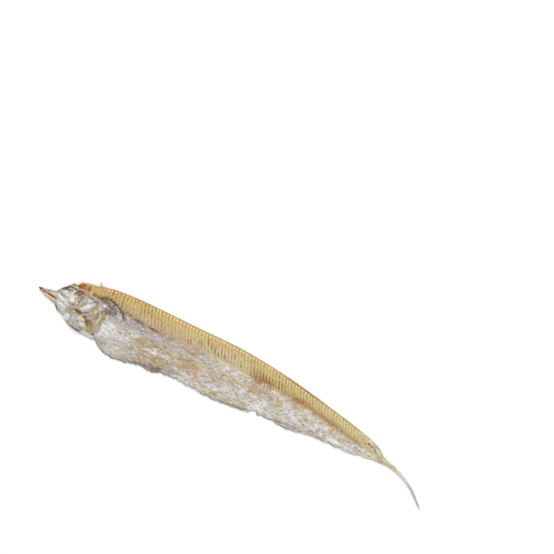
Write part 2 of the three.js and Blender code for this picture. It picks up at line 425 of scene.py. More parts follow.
def under_height(length, across):
    """The height of the underside."""
    return sample(under_face, under_places, np.asarray(length, float), np.asarray(across, float))


print("at mid body the fish is", (skin_height(180, 30) - under_height(180, 30)).round(2), "mm thick")

# %% [markdown]
# ## Where the skin changes colour
# The flank is patchy: white and mauve where the silver is whole, lilac and plum where it is thin, tan,
# straw, mustard and orange where oil has come through. Each patch is an oval with a ragged rim, given by
# its middle, half its length, half its width, its turn in degrees and its strength. A strength over 1 fills
# the oval nearer to its rim. A patch belongs to a layer, and the finish paints one layer over the other.

# %% Patches of the flank
FLANK_PATCHES = {
    "grey": (
        (166, 22, 19, 5, 5, 1.0), (140, 14, 12, 5, 0, 0.9), (98, -9, 10, 4, 6, 1.4),
        (86, 3, 12, 8, 0, 0.7), (75, -16, 9, 4, -6, 1.6), (86, -18, 9, 3, 4, 1.5),
    ),
    "tan": (
        (116, -9.4, 12, 4.4, 10, 1.0), (123, -8.4, 6, 3, 20, 1.3), (143, 2.6, 6, 4, 0, 1.2),
        (215, 19.5, 9, 4.6, 0, 1.5), (231, 18, 8, 4.4, 0, 0.6), (128, 10.6, 12, 3.6, 0, 0.7),
        (108, 0, 8, 4, 12, 0.7), (131, -4, 4, 2.4, 8, 1.4), (252, 27, 10, 2.4, 0, 0.8),
        (149, 20, 5, 3, 0, 1.4), (131, 16, 5, 3, 0, 1.3), (226.6, 24, 5, 2.6, 0, 1.3),
        (125, -8, 4, 2.4, 14, 2.1), (98, -8, 7, 2.4, 6, 0.9),
    ),
    "mustard": (
        (127.6, -4, 7.2, 3.6, 10, 2.2), (150, 8, 5.6, 3.8, 0, 2.3), (104, 5, 4.6, 2.8, 30, 1.5),
        (120, 7.4, 7, 1.6, 6, 1.1), (161, 12, 4.4, 2.2, 0, 1.2), (136, 7, 6, 2.8, 0, 1.1),
        (131, -4, 5, 3, 8, 2.4), (113, -5, 6, 3, 14, 0.5), (183, -4.6, 4, 2, 10, 1.2),
        (149, 19.4, 5, 2.2, 0, 1.5), (197, -4.4, 4, 1.8, 8, 1.1),
    ),
    "straw": (
        (164, 9.4, 8, 4, 0, 1.6), (190, 14, 9, 3.4, 10, 1.6), (181, -5, 8, 2.6, 10, 1.0),
        (210, -1.2, 10, 2, 12, 0.6), (240, 18, 5, 6, 10, 1.6), (260, 24.6, 6.4, 3, 0, 1.5),
        (284, 12, 4, 2, 0, 0.8), (292, 16, 5, 2.6, 0, 1.2), (310, 21, 13, 2.6, -10, 0.6),
        (200, 11, 5, 3, 0, 0.4), (245, 14, 6, 3, 0, 0.5), (155, -3.6, 5, 2.6, 0, 0.9),
        (281, 24, 5, 2.4, 0, 1.2), (298, 20.8, 9, 3, -6, 1.4), (302, 20.2, 8, 2.8, -8, 2.0),
        (270, 17, 8, 4, 0, 0.5), (245, 24.4, 4, 2.4, 0, 1.1),
    ),
    "lilac": (
        (98, 15, 25, 5, 2, 1.9), (115, 14.6, 11, 4.6, 0, 1.5), (137, -7.8, 7, 3.6, 8, 1.1),
        (85, 12.4, 8, 3.4, 0, 2.4), (258, 5, 10, 1.8, 10, 0.8), (288, 10.2, 6, 1.4, 10, 0.7),
        (304, 12, 10, 1.6, 4, 0.7), (116, -11, 10, 2.6, 14, 0.4), (71, 12, 4, 4, 0, 1.4),
    ),
    "mauve": (
        (154, -1, 7, 3.6, 6, 1.3), (190, 23.4, 7.5, 3.6, 4, 1.7), (233.5, 24.6, 5.5, 3.4, 0, 0.7),
        (248, 19, 4.4, 3.6, 0, 1.4), (274, 23, 6, 3, 0, 1.5), (287, 17.6, 6, 4, 0, 1.2),
        (192, 5, 6, 6, 0, 1.4), (170, 5.4, 6, 4.4, 10, 1.2), (86, 10, 10, 5, 0, 0.2),
    ),
    "white": (
        (72, -4, 8.5, 6.5, 0, 1.8), (79, -2.8, 8, 4.4, 0, 1.9), (89, 0.4, 6, 3, 0, 1.1),
        (229, 7.4, 7, 5, 0, 1.3), (235, 8, 7, 3.4, 0, 1.8), (254, 12, 11, 4, 5, 0.8),
        (331, 14.6, 19, 4.4, -8, 1.3), (148.5, -8.6, 5, 2.4, 10, 0.9), (163, -4.6, 7, 2.8, 6, 1.2),
        (283, 16, 9, 3, -5, 1.2), (208, 11.6, 6, 3.4, 0, 1.1), (330, 18, 11, 3.4, -6, 1.8),
        (117, 0.8, 6, 1.8, 8, 1.2), (180, 0, 4.8, 2.4, 8, 1.2), (220, 4, 4, 2.6, 0, 1.3),
        (323, 16, 6, 2.4, -4, 2.3), (85, 4, 3.4, 2.2, 0, 0.9), (298, 15.6, 6, 2, 4, 1.2),
        (89, -12, 5, 2, 0, 0.9), (263, 11.6, 5, 2.4, 0, 1.1), (131, 3.6, 4, 2, 10, 0.8),
    ),
    "orange": (
        (162, 4.4, 7.6, 4.4, 0, 0.8), (215.5, 19.4, 4.4, 2.6, 0, 0.8), (266, 11.6, 3, 2, 0, 0.5),
    ),
    "plum": (
        (127.4, -12, 6, 2.6, 24, 1.4), (113, -14.6, 10, 1.8, 12, 0.9), (251, 4, 8, 1.4, 8, 0.5),
        (209, -3.4, 10, 1.3, 14, 0.7),
    ),
    "stain": (
        (304, 25, 8, 2, -12, 0.7), (317, 23.6, 9, 2, -12, 0.7), (335, 24.4, 3.4, 2.2, -20, 0.9),
        (325, 26.6, 6, 3, -16, 0.6), (203, 40, 4.4, 2, 0, 0.7), (152, 31, 4, 2.4, 0, 0.8),
        (164, 32.6, 5, 2.2, 0, 0.8), (343, 24, 5, 3, -20, 0.6), (347, 20.4, 5, 2.6, -10, 1.1),
        (353, 20.4, 3.4, 1.4, -6, 0.7),
    ),
}
SOFT_RIM = (0.0, 1.8)
CLEAR_RIM = (0.15, 1.45)


def oval(length, across, patch, rim):
    """How far a point is inside an oval patch, from 0 outside to the patch's strength inside."""
    x, y, long, wide, turn, strength = patch
    c = math.cos(math.radians(turn))
    s = math.sin(math.radians(turn))
    u = ((length - x) * c + (across - y) * s) / long
    v = ((across - y) * c - (length - x) * s) / wide
    ragged = 0.35 * hills(length / 4.2, across / 2.4, 41) + 0.2 * hills(length / 1.5, across / 1.1, 42)
    return strength * (1 - ramp(np.hypot(u, v) + ragged, *rim))


def layer(length, across, patches, rim):
    """The strongest of several patches at every point."""
    return np.max([oval(length, across, patch, rim) for patch in patches], axis=0)


print(sum(len(patches) for patches in FLANK_PATCHES.values()), "patches on the flank")

# %% [markdown]
# The head is patchier still: silver, ashen and bright bone, a golden nape, an orange crest with a pale
# fringe, a pink gill cover and brown flesh where the gill opens. Its ovals have clearer rims than those of
# the flank. They paint the skin and the plates and bars that lie on it, and the same layers hold the small
# clear spots of the body and the tail. Some dark, brown and ashen ovals are painted shadow: under the gill
# fold, at the brow, beside the almond plate and along the seam under the band.

# %% Patches of the head
HEAD_PATCHES = {
    "silver": (
        (22, 8.6, 5.6, 3.6, 35, 1.2), (27, 10, 4, 3.4, 0, 1.0), (45, 12.6, 5.4, 2.4, 20, 1.2),
        (44, -9.4, 9.4, 6, -6, 1.3), (25, -6, 6.2, 3, -14, 1.3), (57.5, -15, 7, 2.2, 0, 1.2),
        (58, 12, 3, 2, 0, 1.1), (46, 6.8, 8, 3, 52, 1.0), (23, -1.4, 7, 0.8, -4, 0.9),
        (70, 1, 5, 12, 0, 0.8), (22, 3, 7.5, 2, -4, 1.1), (29.4, 9, 2, 2.4, 0, 1.0),
        (42.4, 10.8, 3.6, 2.2, 45, 1.5),
    ),
    # ashen bone, and one strong oval of painted shadow between the almond plate and the upper gill plate
    "ash": (
        (44, -10, 8.4, 5.4, -6, 0.8), (20, 8, 3, 2.4, 40, 0.6), (24.6, 11.6, 3, 1, 20, 0.7),
        (59, 12.4, 3, 1.6, 0, 0.8), (70, 8, 5, 3, -20, 0.8), (22, -7, 3, 1.6, -40, 0.7),
        (76, 11, 4, 2, -50, 0.7), (38, -9.8, 2, 3.6, 0, 1.2), (72, -13.6, 6, 4, -6, 1.1),
        (40, 11.4, 1.2, 2.6, 10, 0.8), (27, 4.4, 3, 0.8, -20, 0.4), (45.6, 16.4, 5.6, 1.3, 6, 1.0),
        (79, 18.6, 4, 1.4, -30, 0.8), (67, 13, 5.4, 5, -30, 0.9), (62, 17, 4, 2, -20, 0.8),
        (43, 10.2, 3, 1.9, 40, 2.1), (46, -8.6, 2, 1.6, 0, 0.7),
    ),
    "bright": (
        (31, 5.2, 4.2, 3, 72, 1.5), (26, 6.6, 2.6, 1.5, 0, 0.9), (23, 9.6, 1.8, 1.3, 20, 1.0),
        (60.6, 15.6, 2.8, 1.5, 10, 0.8), (34, -10, 2.5, 3.8, 0, 2.1), (300, 11.8, 13, 2.2, 8, 0.9),
        (322, 14.8, 14, 2.6, 9, 1.2), (343, 17.6, 10, 2.4, 6, 1.3), (24.6, -2.6, 7, 1, -4, 1.0),
        (23, 2.7, 7, 1.4, -4, 0.8), (68.6, -2.4, 1.6, 4.4, 4, 1.5), (67.4, -9, 1.2, 3, 0, 0.6),
        (73.6, 15, 3, 1.2, -58, 1.0), (77, 14, 3.2, 1.3, -58, 1.1), (77, 16, 2.4, 1.6, -50, 0.8),
        (50, -8, 1.4, 2.6, 0, 1.1), (59, -14.6, 4, 1.2, 0, 0.6), (223, 1.2, 4.4, 2.4, 20, 1.4),
        (83.6, 16.4, 2.4, 1.6, -20, 0.6), (46.8, -5.7, 3, 1.6, -8, 1.6), (49.8, -5.7, 1.5, 1.4, -50, 1.3),
        (28.6, 0, 2.2, 2, 0, 1.5), (28.4, -5.4, 1.8, 1.6, 0, 0.7), (50, 9.8, 1.4, 1.8, 0, 0.8),
        (71, -3, 4, 3.4, 0, 0.9), (64.6, -11.4, 1.4, 1.8, 0, 0.8), (40.4, -14.4, 1.8, 0.9, -6, 0.6),
        (52.4, -11.6, 1.6, 1.4, 0, 0.5), (67.6, 3.4, 1.6, 1.6, 0, 0.8),
    ),
    "bone": (
        (10.5, 1.2, 5.6, 1.2, 6, 0.9), (12, -2.7, 5.4, 1, -5, 1.3), (27, 17.2, 4, 0.6, 4, 0.6),
        (36, 8, 1.9, 5, -12, 0.7), (60.4, 2, 2.4, 6, 6, 0.8), (61.6, -8.4, 1.3, 2, 0, 0.6),
        (35.8, -1.3, 2.6, 1, 8, 0.9), (55.4, 6.6, 1.4, 2, 0, 0.8), (56, 0.4, 1.8, 1.8, 0, 1.2),
        (28.4, -2.6, 2, 1.2, 0, 0.9), (16.4, -2.6, 2.2, 1, -4, 1.3), (16.6, 1.2, 2, 0.9, 0, 0.9),
    ),
    "olive": (
        (53, 7.6, 5.2, 1.6, 62, 0.8), (56.8, -7.6, 3.2, 5.4, 22, 1.5), (35, -1.8, 4, 1.6, 18, 1.2),
        (42.4, 6.2, 4.6, 0.9, 42, 1.1), (33, -4.4, 2, 0.8, -40, 1.2), (59.4, 5.6, 2, 3, 0, 1.0),
        (60.4, -13.6, 2, 1, 20, 0.8), (52.4, 12.6, 1.8, 1.6, 0, 1.3), (63.8, 6, 2, 3.2, 0, 1.4),
        (37.6, 3.4, 1.6, 2.4, -10, 0.6), (64.2, -2, 1.2, 3.4, 0, 0.8), (20.4, 9.2, 1.8, 1, 30, 0.6),
    ),
    "pink": (
        (52.4, 1.2, 5.6, 1.8, 34, 1.3), (40.6, -4.1, 5, 1.2, -4, 0.7), (64.6, -8, 1.6, 4, 5, 0.5),
        (43.6, -10, 3, 3, 0, 0.5), (66, 18, 3.4, 1, -50, 0.6), (68.6, 14, 3.4, 1, -50, 0.5),
    ),
    "mottle": (
        (57.6, 19.4, 5, 1.8, 12, 1.3), (68, 15.2, 6.6, 6, -34, 1.1), (62.4, 19, 3.4, 0.9, -50, 1.1),
        (65, 17.4, 4.6, 0.9, -52, 1.3), (67.8, 17, 4.6, 0.8, -52, 1.3), (70.6, 17.6, 3.6, 1.2, -50, 1.3),
        (63, 12.4, 3.4, 0.9, -46, 1.1), (66, 11.6, 4, 1, -48, 1.3), (69, 12, 3.4, 0.9, -48, 1.1),
        (67.4, 12.4, 2.4, 1.8, -40, 0.9), (61, 9.6, 2.2, 1.6, 0, 0.8), (50, 14.2, 2.2, 0.9, 20, 0.8),
        (49.8, -2.7, 2.8, 1.4, -28, 1.6), (71, 18.2, 2, 1.3, -30, 1.2), (45.4, -15.6, 6.4, 0.8, -4, 0.8),
        (37.4, -8, 0.8, 3, 0, 0.5), (39.4, 12.8, 0.9, 2.4, 10, 0.9), (26, 12.8, 2.8, 1, 26, 1.1),
        (45, -8.4, 1.2, 0.6, 0, 0.9), (47, -12.8, 3, 0.9, 0, 0.6), (30.4, -11, 0.8, 2.2, 14, 0.4),
        (9.6, 2.5, 4.6, 0.8, 15, 1.2), (14, 3.9, 3.2, 0.9, 24, 1.2), (20, 5.2, 4.6, 0.6, -4, 0.7),
        (27, 15.4, 5.6, 1.5, 5, 1.7), (33.4, 1.2, 2, 0.7, 40, 0.8), (49.6, -12.4, 1.4, 2, 0, 0.6),
        (99, 18.8, 27, 1.5, 1, 1.0), (52, 15.6, 3, 1.5, 10, 1.0), (22.6, 12.6, 2, 1.6, 52, 1.2),
        (45, 15.8, 9, 1.4, 4, 0.8), (37, 12.4, 2, 2.4, 0, 0.7), (83, 12, 5, 3, 0, 0.35),
    ),
    "gold": (
        (46, 24, 9, 4.4, 22, 1.3), (58, 27, 9, 3.4, 12, 0.5), (68, 30.8, 10, 2.4, 6, 1.0),
        (77, 32, 4.4, 2.4, 6, 1.3), (86, 31.4, 18, 4, 3, 1.1), (112, 32, 20, 3.4, 3, 0.6),
        (38.4, 24.8, 3, 1.2, 10, 1.0),
    ),
    "crest": (
        (33, 21.2, 4.4, 2.5, 32, 1.6), (36, 22.8, 3.2, 1.9, 20, 1.4), (39.8, 22.2, 2.6, 2.6, 0, 1.3),
        (35.4, 20.6, 2.6, 1.5, 20, 1.6), (36.6, 17.6, 5, 1.3, 10, 0.9), (34.4, 18.8, 3.4, 1.1, 10, 1.0),
        (12, -0.5, 5.8, 1.2, -2, 1.3), (12.6, -3.6, 3, 0.6, -5, 0.5),
    ),
    "fringe": (
        (30.2, 23.6, 1.8, 1.4, 45, 1.2), (33.6, 25.1, 2.8, 0.8, 12, 1.1),
    ),
    # brown flesh, the mouth and the nostril, and a few ovals of painted shadow under the gill fold and below
    # the seam
    "brown": (
        (41.4, -1, 3.4, 2.1, 0, 2.4), (45.6, 0, 2.6, 0.6, 26, 1.0), (53.4, -6.1, 3.1, 1.3, -52, 2.3),
        (54.8, -7.4, 2, 1.2, -50, 1.0), (55.2, -3.8, 1.8, 1.2, -30, 0.5), (32.8, 14.2, 3.4, 1.3, 50, 1.7),
        (35.6, 13.6, 3, 1.1, 52, 1.5), (35.4, 7.4, 0.8, 4, -14, 0.5), (38, 8.4, 0.8, 3.4, -8, 0.8),
        (33.8, 2.8, 1.8, 0.6, 50, 0.8), (40.2, 21.8, 1.3, 2.4, 0, 1.4), (40.4, 24.4, 1.6, 1, 0, 0.5),
        (40.6, 18.4, 1.8, 1.2, 0, 0.5), (49, 20, 4.4, 2, 10, 1.1), (36.8, 15.6, 3.8, 1.6, 4, 1.7),
        (11.4, -0.9, 5.7, 0.6, -2, 1.1), (4.9, -0.1, 1.5, 1.1, 0, 1.4), (58, 4, 0.8, 4, 6, 0.8),
        (62.8, 2, 0.7, 5, 2, 0.6), (62.8, -12, 1.4, 1.2, 30, 1.3), (57, 21, 4, 1.4, 26, 0.5),
        (60.8, 21, 4.2, 1, -4, 0.9), (50, 3.4, 2, 0.5, 55, 0.8), (32.4, 20.6, 3, 1.3, 36, 1.2),
        (47, 21.4, 0.8, 2.4, -12, 0.8), (52, 22.6, 0.8, 2.4, -12, 0.8), (30.4, 15.4, 2.6, 0.9, 6, 1.0),
        (34.6, 23.2, 1.8, 0.8, 28, 1.0), (83, 20, 4.4, 1.4, -6, 0.7), (142, 26, 5, 3, 4, 0.5),
    ),
    # partly real dark spots (tail, snout tip, belly), partly painted shadow under the gill fold, at the brow
    # and along the seam under the band
    "dark": (
        (324, 29, 1.4, 0.9, 0, 1.1), (331.2, 28, 1.9, 1, -20, 1.2), (333.6, 27, 1.2, 1.3, 10, 1.1),
        (335.8, 27.4, 1.3, 0.8, -20, 1.1), (337.8, 26, 1.3, 1, -30, 1.1), (339.4, 24.8, 1, 0.8, 0, 1.0),
        (327.6, 27, 1, 0.8, 0, 0.9), (75, 19, 5, 1.3, -12, 1.0), (93, 18.9, 6, 1.2, 0, 1.0),
        (107.4, 19, 5.4, 1.2, 2, 1.0), (121, 19.8, 5, 1.1, 6, 0.5), (270, 13, 1.6, 1, 0, 0.9),
        (0.4, 0, 2.6, 2.2, 0, 1.3), (20.8, 12, 2.6, 1.4, 52, 1.3), (16.4, 6.4, 1.8, 0.7, 50, 0.9),
        (26, 18.5, 2.2, 0.9, 4, 1.3), (21.2, -6.8, 2.4, 0.8, -52, 1.1), (31.8, 14.6, 2.4, 0.9, 50, 1.1),
        (26.6, 15, 4, 0.5, 6, 0.8), (62.6, -12.6, 1, 0.7, 30, 0.8), (58, 22.4, 3, 1, 20, 0.8),
        (64.6, 22.2, 4, 1.1, -6, 1.0), (72.6, 20.2, 4, 1.1, -22, 1.0), (78.4, 16.6, 3.6, 0.9, -52, 1.0),
        (44.6, -16.2, 4, 0.5, -6, 0.6), (41, -1.1, 2.2, 1, 0, 0.8), (54.4, 19.2, 2.2, 0.9, 30, 0.8),
        (67, 15.6, 2, 0.6, -52, 0.8), (63.4, 16.6, 1.6, 0.5, -52, 0.7), (64.4, 12, 2, 0.5, -50, 0.7),
        (70, 12.6, 2, 0.5, -46, 0.7), (67.4, 12.4, 2, 1.4, -46, 0.35), (291, 10.2, 2.4, 0.6, 6, 0.5),
        (310, 12.4, 3.4, 0.6, 6, 0.5), (316, 13.2, 2.4, 0.6, 8, 0.5), (326, 14.6, 3, 0.5, 10, 0.4),
    ),
}
print(sum(len(patches) for patches in HEAD_PATCHES.values()), "patches on the head")

# %% [markdown]
# Other layers follow from the shape alone. The back has its yellow band with green, pale and blushing
# stretches, rust where the blood line shows through, dark slits between the ribs and a painted shadow
# along the seam under the band. The brown rim and the grey line follow the back edge and the belly edge,
# and the tail turns from tan to pale to grey. Some are a sum of runs along the fish, each with a strength,
# a rise and a fall. Others fill a field, which rises and falls along the fish and across it.

# %% Layers that follow the shape
BAND_LOW = ((29, 19.6), (40, 18.8), (50, 18.2), (53.5, 20.5), (57, 23.6), (64, 23.2))
TAIL_TAN = (310, 348)
TAIL_PALE = (358, 374)
TAIL_GREY = (374, 386)
BEFORE_SNOUT = (-9, -5)
RUST_RUNS = ((0.85, (202, 212), (226, 232)), (0.7, (238, 246), (252, 264)), (0.65, (252, 264), (296, 310)))
BLUSH_RUNS = ((0.7, (74, 82), (150, 162)), (0.5, (94, 102), (140, 150)))
# painted shadow: where the dark line along the seam under the band runs
SEAM_RUNS = ((1, (66, 76), (156, 168)), (0.8, (206, 214), (250, 262)))
GAP_RUNS = ((0.45, BEFORE_SNOUT, (112, 136)), (0.35, (206, 226), (286, 312)))
RIM_RUNS = ((0.25, BEFORE_SNOUT, (196, 210)), (0.9, (230, 246), (262, 284)), (0.3, (322, 336), (362, 374)))
EDGE_RUNS = ((0.5, (68, 76), (128, 136)), (0.8, BEFORE_SNOUT, (284, 312)), (-1, (217, 220), (227, 230)))
FIELDS = {
    # rise and fall along the fish in millimetres, rise and fall across it in places
    "front dashes": ((144, 154), (180, 190), (0.44, 0.52), (0.7, 0.8)),
    "rear dashes": ((188, 196), (236, 246), (0.46, 0.54), (0.84, 0.98)),
    "green": ((60, 84), (306, 330), (0.1, 0.3), (0.62, 0.85)),
    "pale middle": ((136, 162), (196, 214), (0.4, 0.65), (1.02, 1.1)),
    "pale rear": ((252, 296), (320, 336), (0.05, 0.2), (0.66, 0.84)),
    "oiled": ((76, 104), (186, 214), (0.95, 1.1), (1.9, 2.0)),
}


def field(label, length, place):
    """1 inside a field of the skin and 0 outside it."""
    rise, fall, high, low = FIELDS[label]
    return between(length, rise, fall) * between(place, high, low)


def runs(length, parts):
    """The sum of several runs along the fish, each a strength, a rise and a fall."""
    return sum(strength * between(length, rise, fall) for strength, rise, fall in parts)


def rib_gaps(length, across, place, waver):
    """How dark the gaps between ribs are: dashes along the middle of the back, crumbs elsewhere."""
    draw = hills(np.floor(rib_phase(length, across)) * 0.73, np.zeros(np.shape(length)) + 0.5, 53)
    crumbs = hills(length / 1.6, across / 1.4, 54)
    front = field("front dashes", length, place + 0.22 * draw)
    rear = field("rear dashes", length, place + 0.1 * draw)
    dashes = (2.0 * front + 1.2 * rear) * (0.65 + 0.8 * draw + 0.6 * crumbs)
    elsewhere = runs(length, GAP_RUNS) + 0.3 * waver + 0.3 * draw + 0.35 * crumbs
    return np.clip(np.maximum(dashes, elsewhere), 0, 1.2)


def band_layers(length, across, place, waver, drift):
    """The colours of the ribbed back, down to its seam."""
    crest = np.cos(2 * np.pi * rib_phase(length, across))
    nape_low = np.interp(length, *zip(*BAND_LOW)) + 0.8 * waver
    nape = ramp(across, nape_low - 1.4, nape_low + 1.2) * between(length, (36, 44), (60, 66))
    body = (1 - ramp(place + 0.07 * waver - 0.04 * crest, 0.9, 1.08)) * ramp(length, 56, 62)
    low = between(place + 0.06 * waver, (0.42, 0.82), (1.06, 1.16))
    on_seam = between(place + 0.02 * waver, (0.93, 1.0), (1.04, 1.16))
    greener = 0.5 + 0.8 * drift + 0.5 * between(length, (222, 238), (300, 320))
    pale = np.maximum(1.25 * field("pale middle", length, place), field("pale rear", length, place))
    gaps = rib_gaps(length, across, place, waver) * ramp(-crest, 0.0, 0.8)
    return {
        "band": np.maximum(nape, body) * (1 - 0.75 * ramp(length + 9 * waver, *TAIL_TAN)),
        "rust": low * runs(length, RUST_RUNS) * (0.6 + 0.2 * crest + 0.4 * waver),
        "blush": low * runs(length, BLUSH_RUNS) * (0.8 + 0.5 * waver),
        "pale": pale * (0.8 + 0.4 * waver),
        "green": field("green", length, place) * np.clip(greener, 0, 1.2),
        # painted shadow along the seam under the band
        "seam": on_seam * runs(length, SEAM_RUNS) * (0.7 + 0.5 * waver),
        "slit": gaps * np.maximum(nape * ramp(length, 48, 58), body),
    }


def edge_layers(length, across, place, waver, drift):
    """The colours of the two edges, of the oiled flank, of the bony head and of the tail."""
    back_gap = np.interp(length, along, back) - across
    belly_gap = across - np.interp(length, along, belly)
    rim = np.clip(0.1 + runs(length, RIM_RUNS), 0, 1) * between(length, (46, 60), (372, 380))
    edge = np.clip(0.7 * waver - 0.2 + runs(length, EDGE_RUNS), 0, 1) * between(length, (60, 72), (340, 352))
    return {
        "oiled": field("oiled", length, place) * (0.75 + 0.5 * drift),
        "bony": between(length, (27, 36), (64.5, 68)) * (0.9 + 0.4 * waver),
        "rim": rim * (1 - ramp(back_gap, 0.4, 1.5)),
        "edge": edge * (1 - ramp(belly_gap + 0.5 * waver, 0.5, 2.4)),
        "tail_tan": ramp(length + 9 * waver, *TAIL_TAN),
        "tail_pale": ramp(length + 4 * waver, *TAIL_PALE),
        "tail_grey": ramp(length + 2 * waver, *TAIL_GREY),
    }


def colour_layers(length, across):
    """Every colour layer at points of the fish. 0 is none of it, and 1 or more is all of it."""
    place = place_of(length, across)
    waver = hills(length / 4, across / 3, 51)
    drift = hills(length / 13, across / 5, 52)
    layers = band_layers(length, across, place, waver, drift)
    layers.update(edge_layers(length, across, place, waver, drift))
    for label, patches in FLANK_PATCHES.items():
        layers[label] = layer(length, across, patches, SOFT_RIM)
    for label, patches in HEAD_PATCHES.items():
        layers[label] = layer(length, across, patches, CLEAR_RIM)
    return layers


print("layers:", ", ".join(colour_layers(np.array([180.0]), np.array([30.0]))))

# %% [markdown]
# ## Tools for meshes
# A piece is an object made from points, edges and faces. What its finish has to know is kept in the mesh as
# attributes, one number for each point, because colours follow the fish and not the frame's axes. A
# finished piece is shaded smooth and rides on the only body.

# %% Mesh helpers
def store(mesh, label, numbers):
    """Keeps one number for each point of a mesh under a name."""
    kept = mesh.attributes.new(label, "FLOAT", "POINT")
    kept.data.foreach_set("value", np.asarray(numbers, np.float32).ravel())


def looks(length, across, crinkle):
    """All that the skin's finish asks of a point: its layers, its crests and its creases."""
    layers = colour_layers(length, across)
    tight = np.clip(layers["crest"] + layers["gold"] + layers["band"], 0, 1)
    # crinkle drives the painted highlight on crests and the painted shade in gullies
    layers["crinkle"] = 0.5 + 0.5 * np.clip(crinkle * (1 - 0.8 * tight), -1, 1)
    # crease: how much painted shade darkens the creases
    layers["crease"] = crease_depth(length, across)[1]
    return layers


def new_piece(name, points, edges, faces):
    """An object in the scene from points in metres."""
    mesh = bpy.data.meshes.new(name)
    mesh.from_pydata(points, edges, faces)
    piece = bpy.data.objects.new(name, mesh)
    bpy.context.scene.collection.objects.link(piece)
    return piece


def keep(piece):
    """Hands a finished piece to the frame and says how fine it is."""
    piece.data.shade_smooth()
    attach(piece, "root")
    triangles = sum(len(face.vertices) - 2 for face in piece.data.polygons)
    print(piece.name, "has", triangles, "triangles")
    return piece


print("a point of the skin keeps", len(looks(np.array([180.0]), np.array([30.0]), np.zeros(1))), "numbers")

# %% [markdown]
# ## The skin as one closed mesh
# Every station is a ring: over the top from back to belly, round the belly edge, along the underside and
# round the back edge. Both edges bulge a little between the two faces, the belly edge is ragged, and the
# tail is drawn in, because it has shrunk most.

# %% Skin rings
EDGE_BULGE = 0.22
BELLY_RAGGED = 0.35
BELLY_RISE = (1.8, 2.0)
TAIL_SLIM = 0.16
TAIL_RISE = (346, 360)
belly_waver = hills(along / 1.4, along * 0 + 0.5, 61)
ragged_belly = column(BELLY_RAGGED * belly_waver * between(along, (64, 76), (340, 352)))
tail_share = column(ramp(along, *TAIL_RISE))
edge_bulge = EDGE_BULGE * (1 - tail_share)
ring_across = np.hstack([
    top_across + ragged_belly * ramp(top_places, *BELLY_RISE),
    column(belly) + ragged_belly - edge_bulge,
    (under_across + ragged_belly * ramp(under_places, *BELLY_RISE))[:, ::-1],
    column(back) + edge_bulge,
])
fish_middle = column((back + belly) / 2)
ring_across = fish_middle + (ring_across - fish_middle) * (1 - TAIL_SLIM * tail_share)
ring_height = np.hstack([
    top_face,
    column((top_face[:, -1] + under_face[:, -1]) / 2),
    under_face[:, ::-1],
    column((top_face[:, 0] + under_face[:, 0]) / 2),
])
ring_size = ring_across.shape[1]
ring_along = np.repeat(column(along), ring_size, axis=1)
print(STATIONS, "rings of", ring_size, "points")

# %% [markdown]
# Neighbouring rings are joined by quads and the two ends are closed. The mesh stands for the solid, in the
# solid's own form. Its crests show least on the crest, the nape and the band, where the skin lies tight.

# %% Skin mesh
skin_points = in_frame(np.stack([ring_along, ring_across, ring_height], axis=2).reshape(-1, 3))
numbers = np.arange(STATIONS * ring_size).reshape(STATIONS, ring_size)
following = np.roll(numbers, -1, axis=1)
quads = np.stack([numbers[:-1], following[:-1], following[1:], numbers[1:]], axis=2).reshape(-1, 4)
skin_faces = quads.tolist() + [numbers[0, ::-1].tolist(), numbers[-1].tolist()]
skin = new_piece("skin", skin_points.tolist(), [], skin_faces)
ring_drop = np.interp(ring_along, along, seam) - ring_across
for label, numbers_here in looks(ring_along, ring_across, skin_crests(ring_along, ring_drop)).items():
    store(skin.data, label, numbers_here)
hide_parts("ribbonfish")
keep(skin)

# %% [markdown]
# ## Tools for finishes
# A finish is a small set of shader nodes. Colours are written as they look, from 0 to 255, and turned into
# the linear numbers that light works with. Noise is stretched by a Mapping node that counts in millimetres,
# so the grain of a finish can be given at its real size.

# %% Shader helpers
def add(tree, kind, inputs=None, **choices):
    """Adds a node, makes its choices, and links or sets its inputs."""
    node = tree.nodes.new(kind)
    for label, choice in choices.items():
        setattr(node, label, choice)
    for label, given in (inputs or {}).items():
        if isinstance(given, bpy.types.NodeSocket):
            tree.links.new(given, node.inputs[label])
        else:
            node.inputs[label].default_value = given
    return node


def paint(red, green, blue):
    """A colour as it looks, from 0 to 255, in linear light."""
    shown = np.array([red, green, blue]) / 255
    linear = np.where(shown <= 0.04045, shown / 12.92, ((shown + 0.055) / 1.055) ** 2.4)
    return (*linear.tolist(), 1.0)


def grain(tree, size, detail=3.0, roughness=0.6, shift=0.0):
    """Noise whose hills are so many millimetres long, wide and high. A shift gives another noise."""
    where = add(tree, "ShaderNodeTexCoord")
    scaled = add(tree, "ShaderNodeMapping", {"Vector": where.outputs["Object"]})
    scaled.inputs["Location"].default_value = (7.3 * shift, 3.1 * shift, 0)
    scaled.inputs["Scale"].default_value = [1 / (side * MM) for side in size]
    noise = add(tree, "ShaderNodeTexNoise", {
        "Vector": scaled.outputs["Vector"], "Scale": 1.0, "Detail": detail, "Roughness": roughness,
    })
    return noise.outputs["Fac"]


def share(tree, value, low, high, least=0.0, most=1.0):
    """A value from low to high, spread over least to most."""
    node = add(tree, "ShaderNodeMapRange", {0: value, 1: low, 2: high, 3: least, 4: most})
    return node.outputs["Result"]


def over(tree, amount, below, above):
    """One colour over another."""
    node = add(tree, "ShaderNodeMix", {0: amount, 6: below, 7: above}, data_type="RGBA")
    return node.outputs[2]


def washed(tree, colour, value, low, high, most, shade):
    """A colour under a shade: none of the shade where a value is at low, most of it at high."""
    return over(tree, share(tree, value, low, high, 0.0, most), colour, shade)


def kept(tree, label):
    """A number that the mesh keeps at its points."""
    return add(tree, "ShaderNodeAttribute", attribute_name=label).outputs["Fac"]


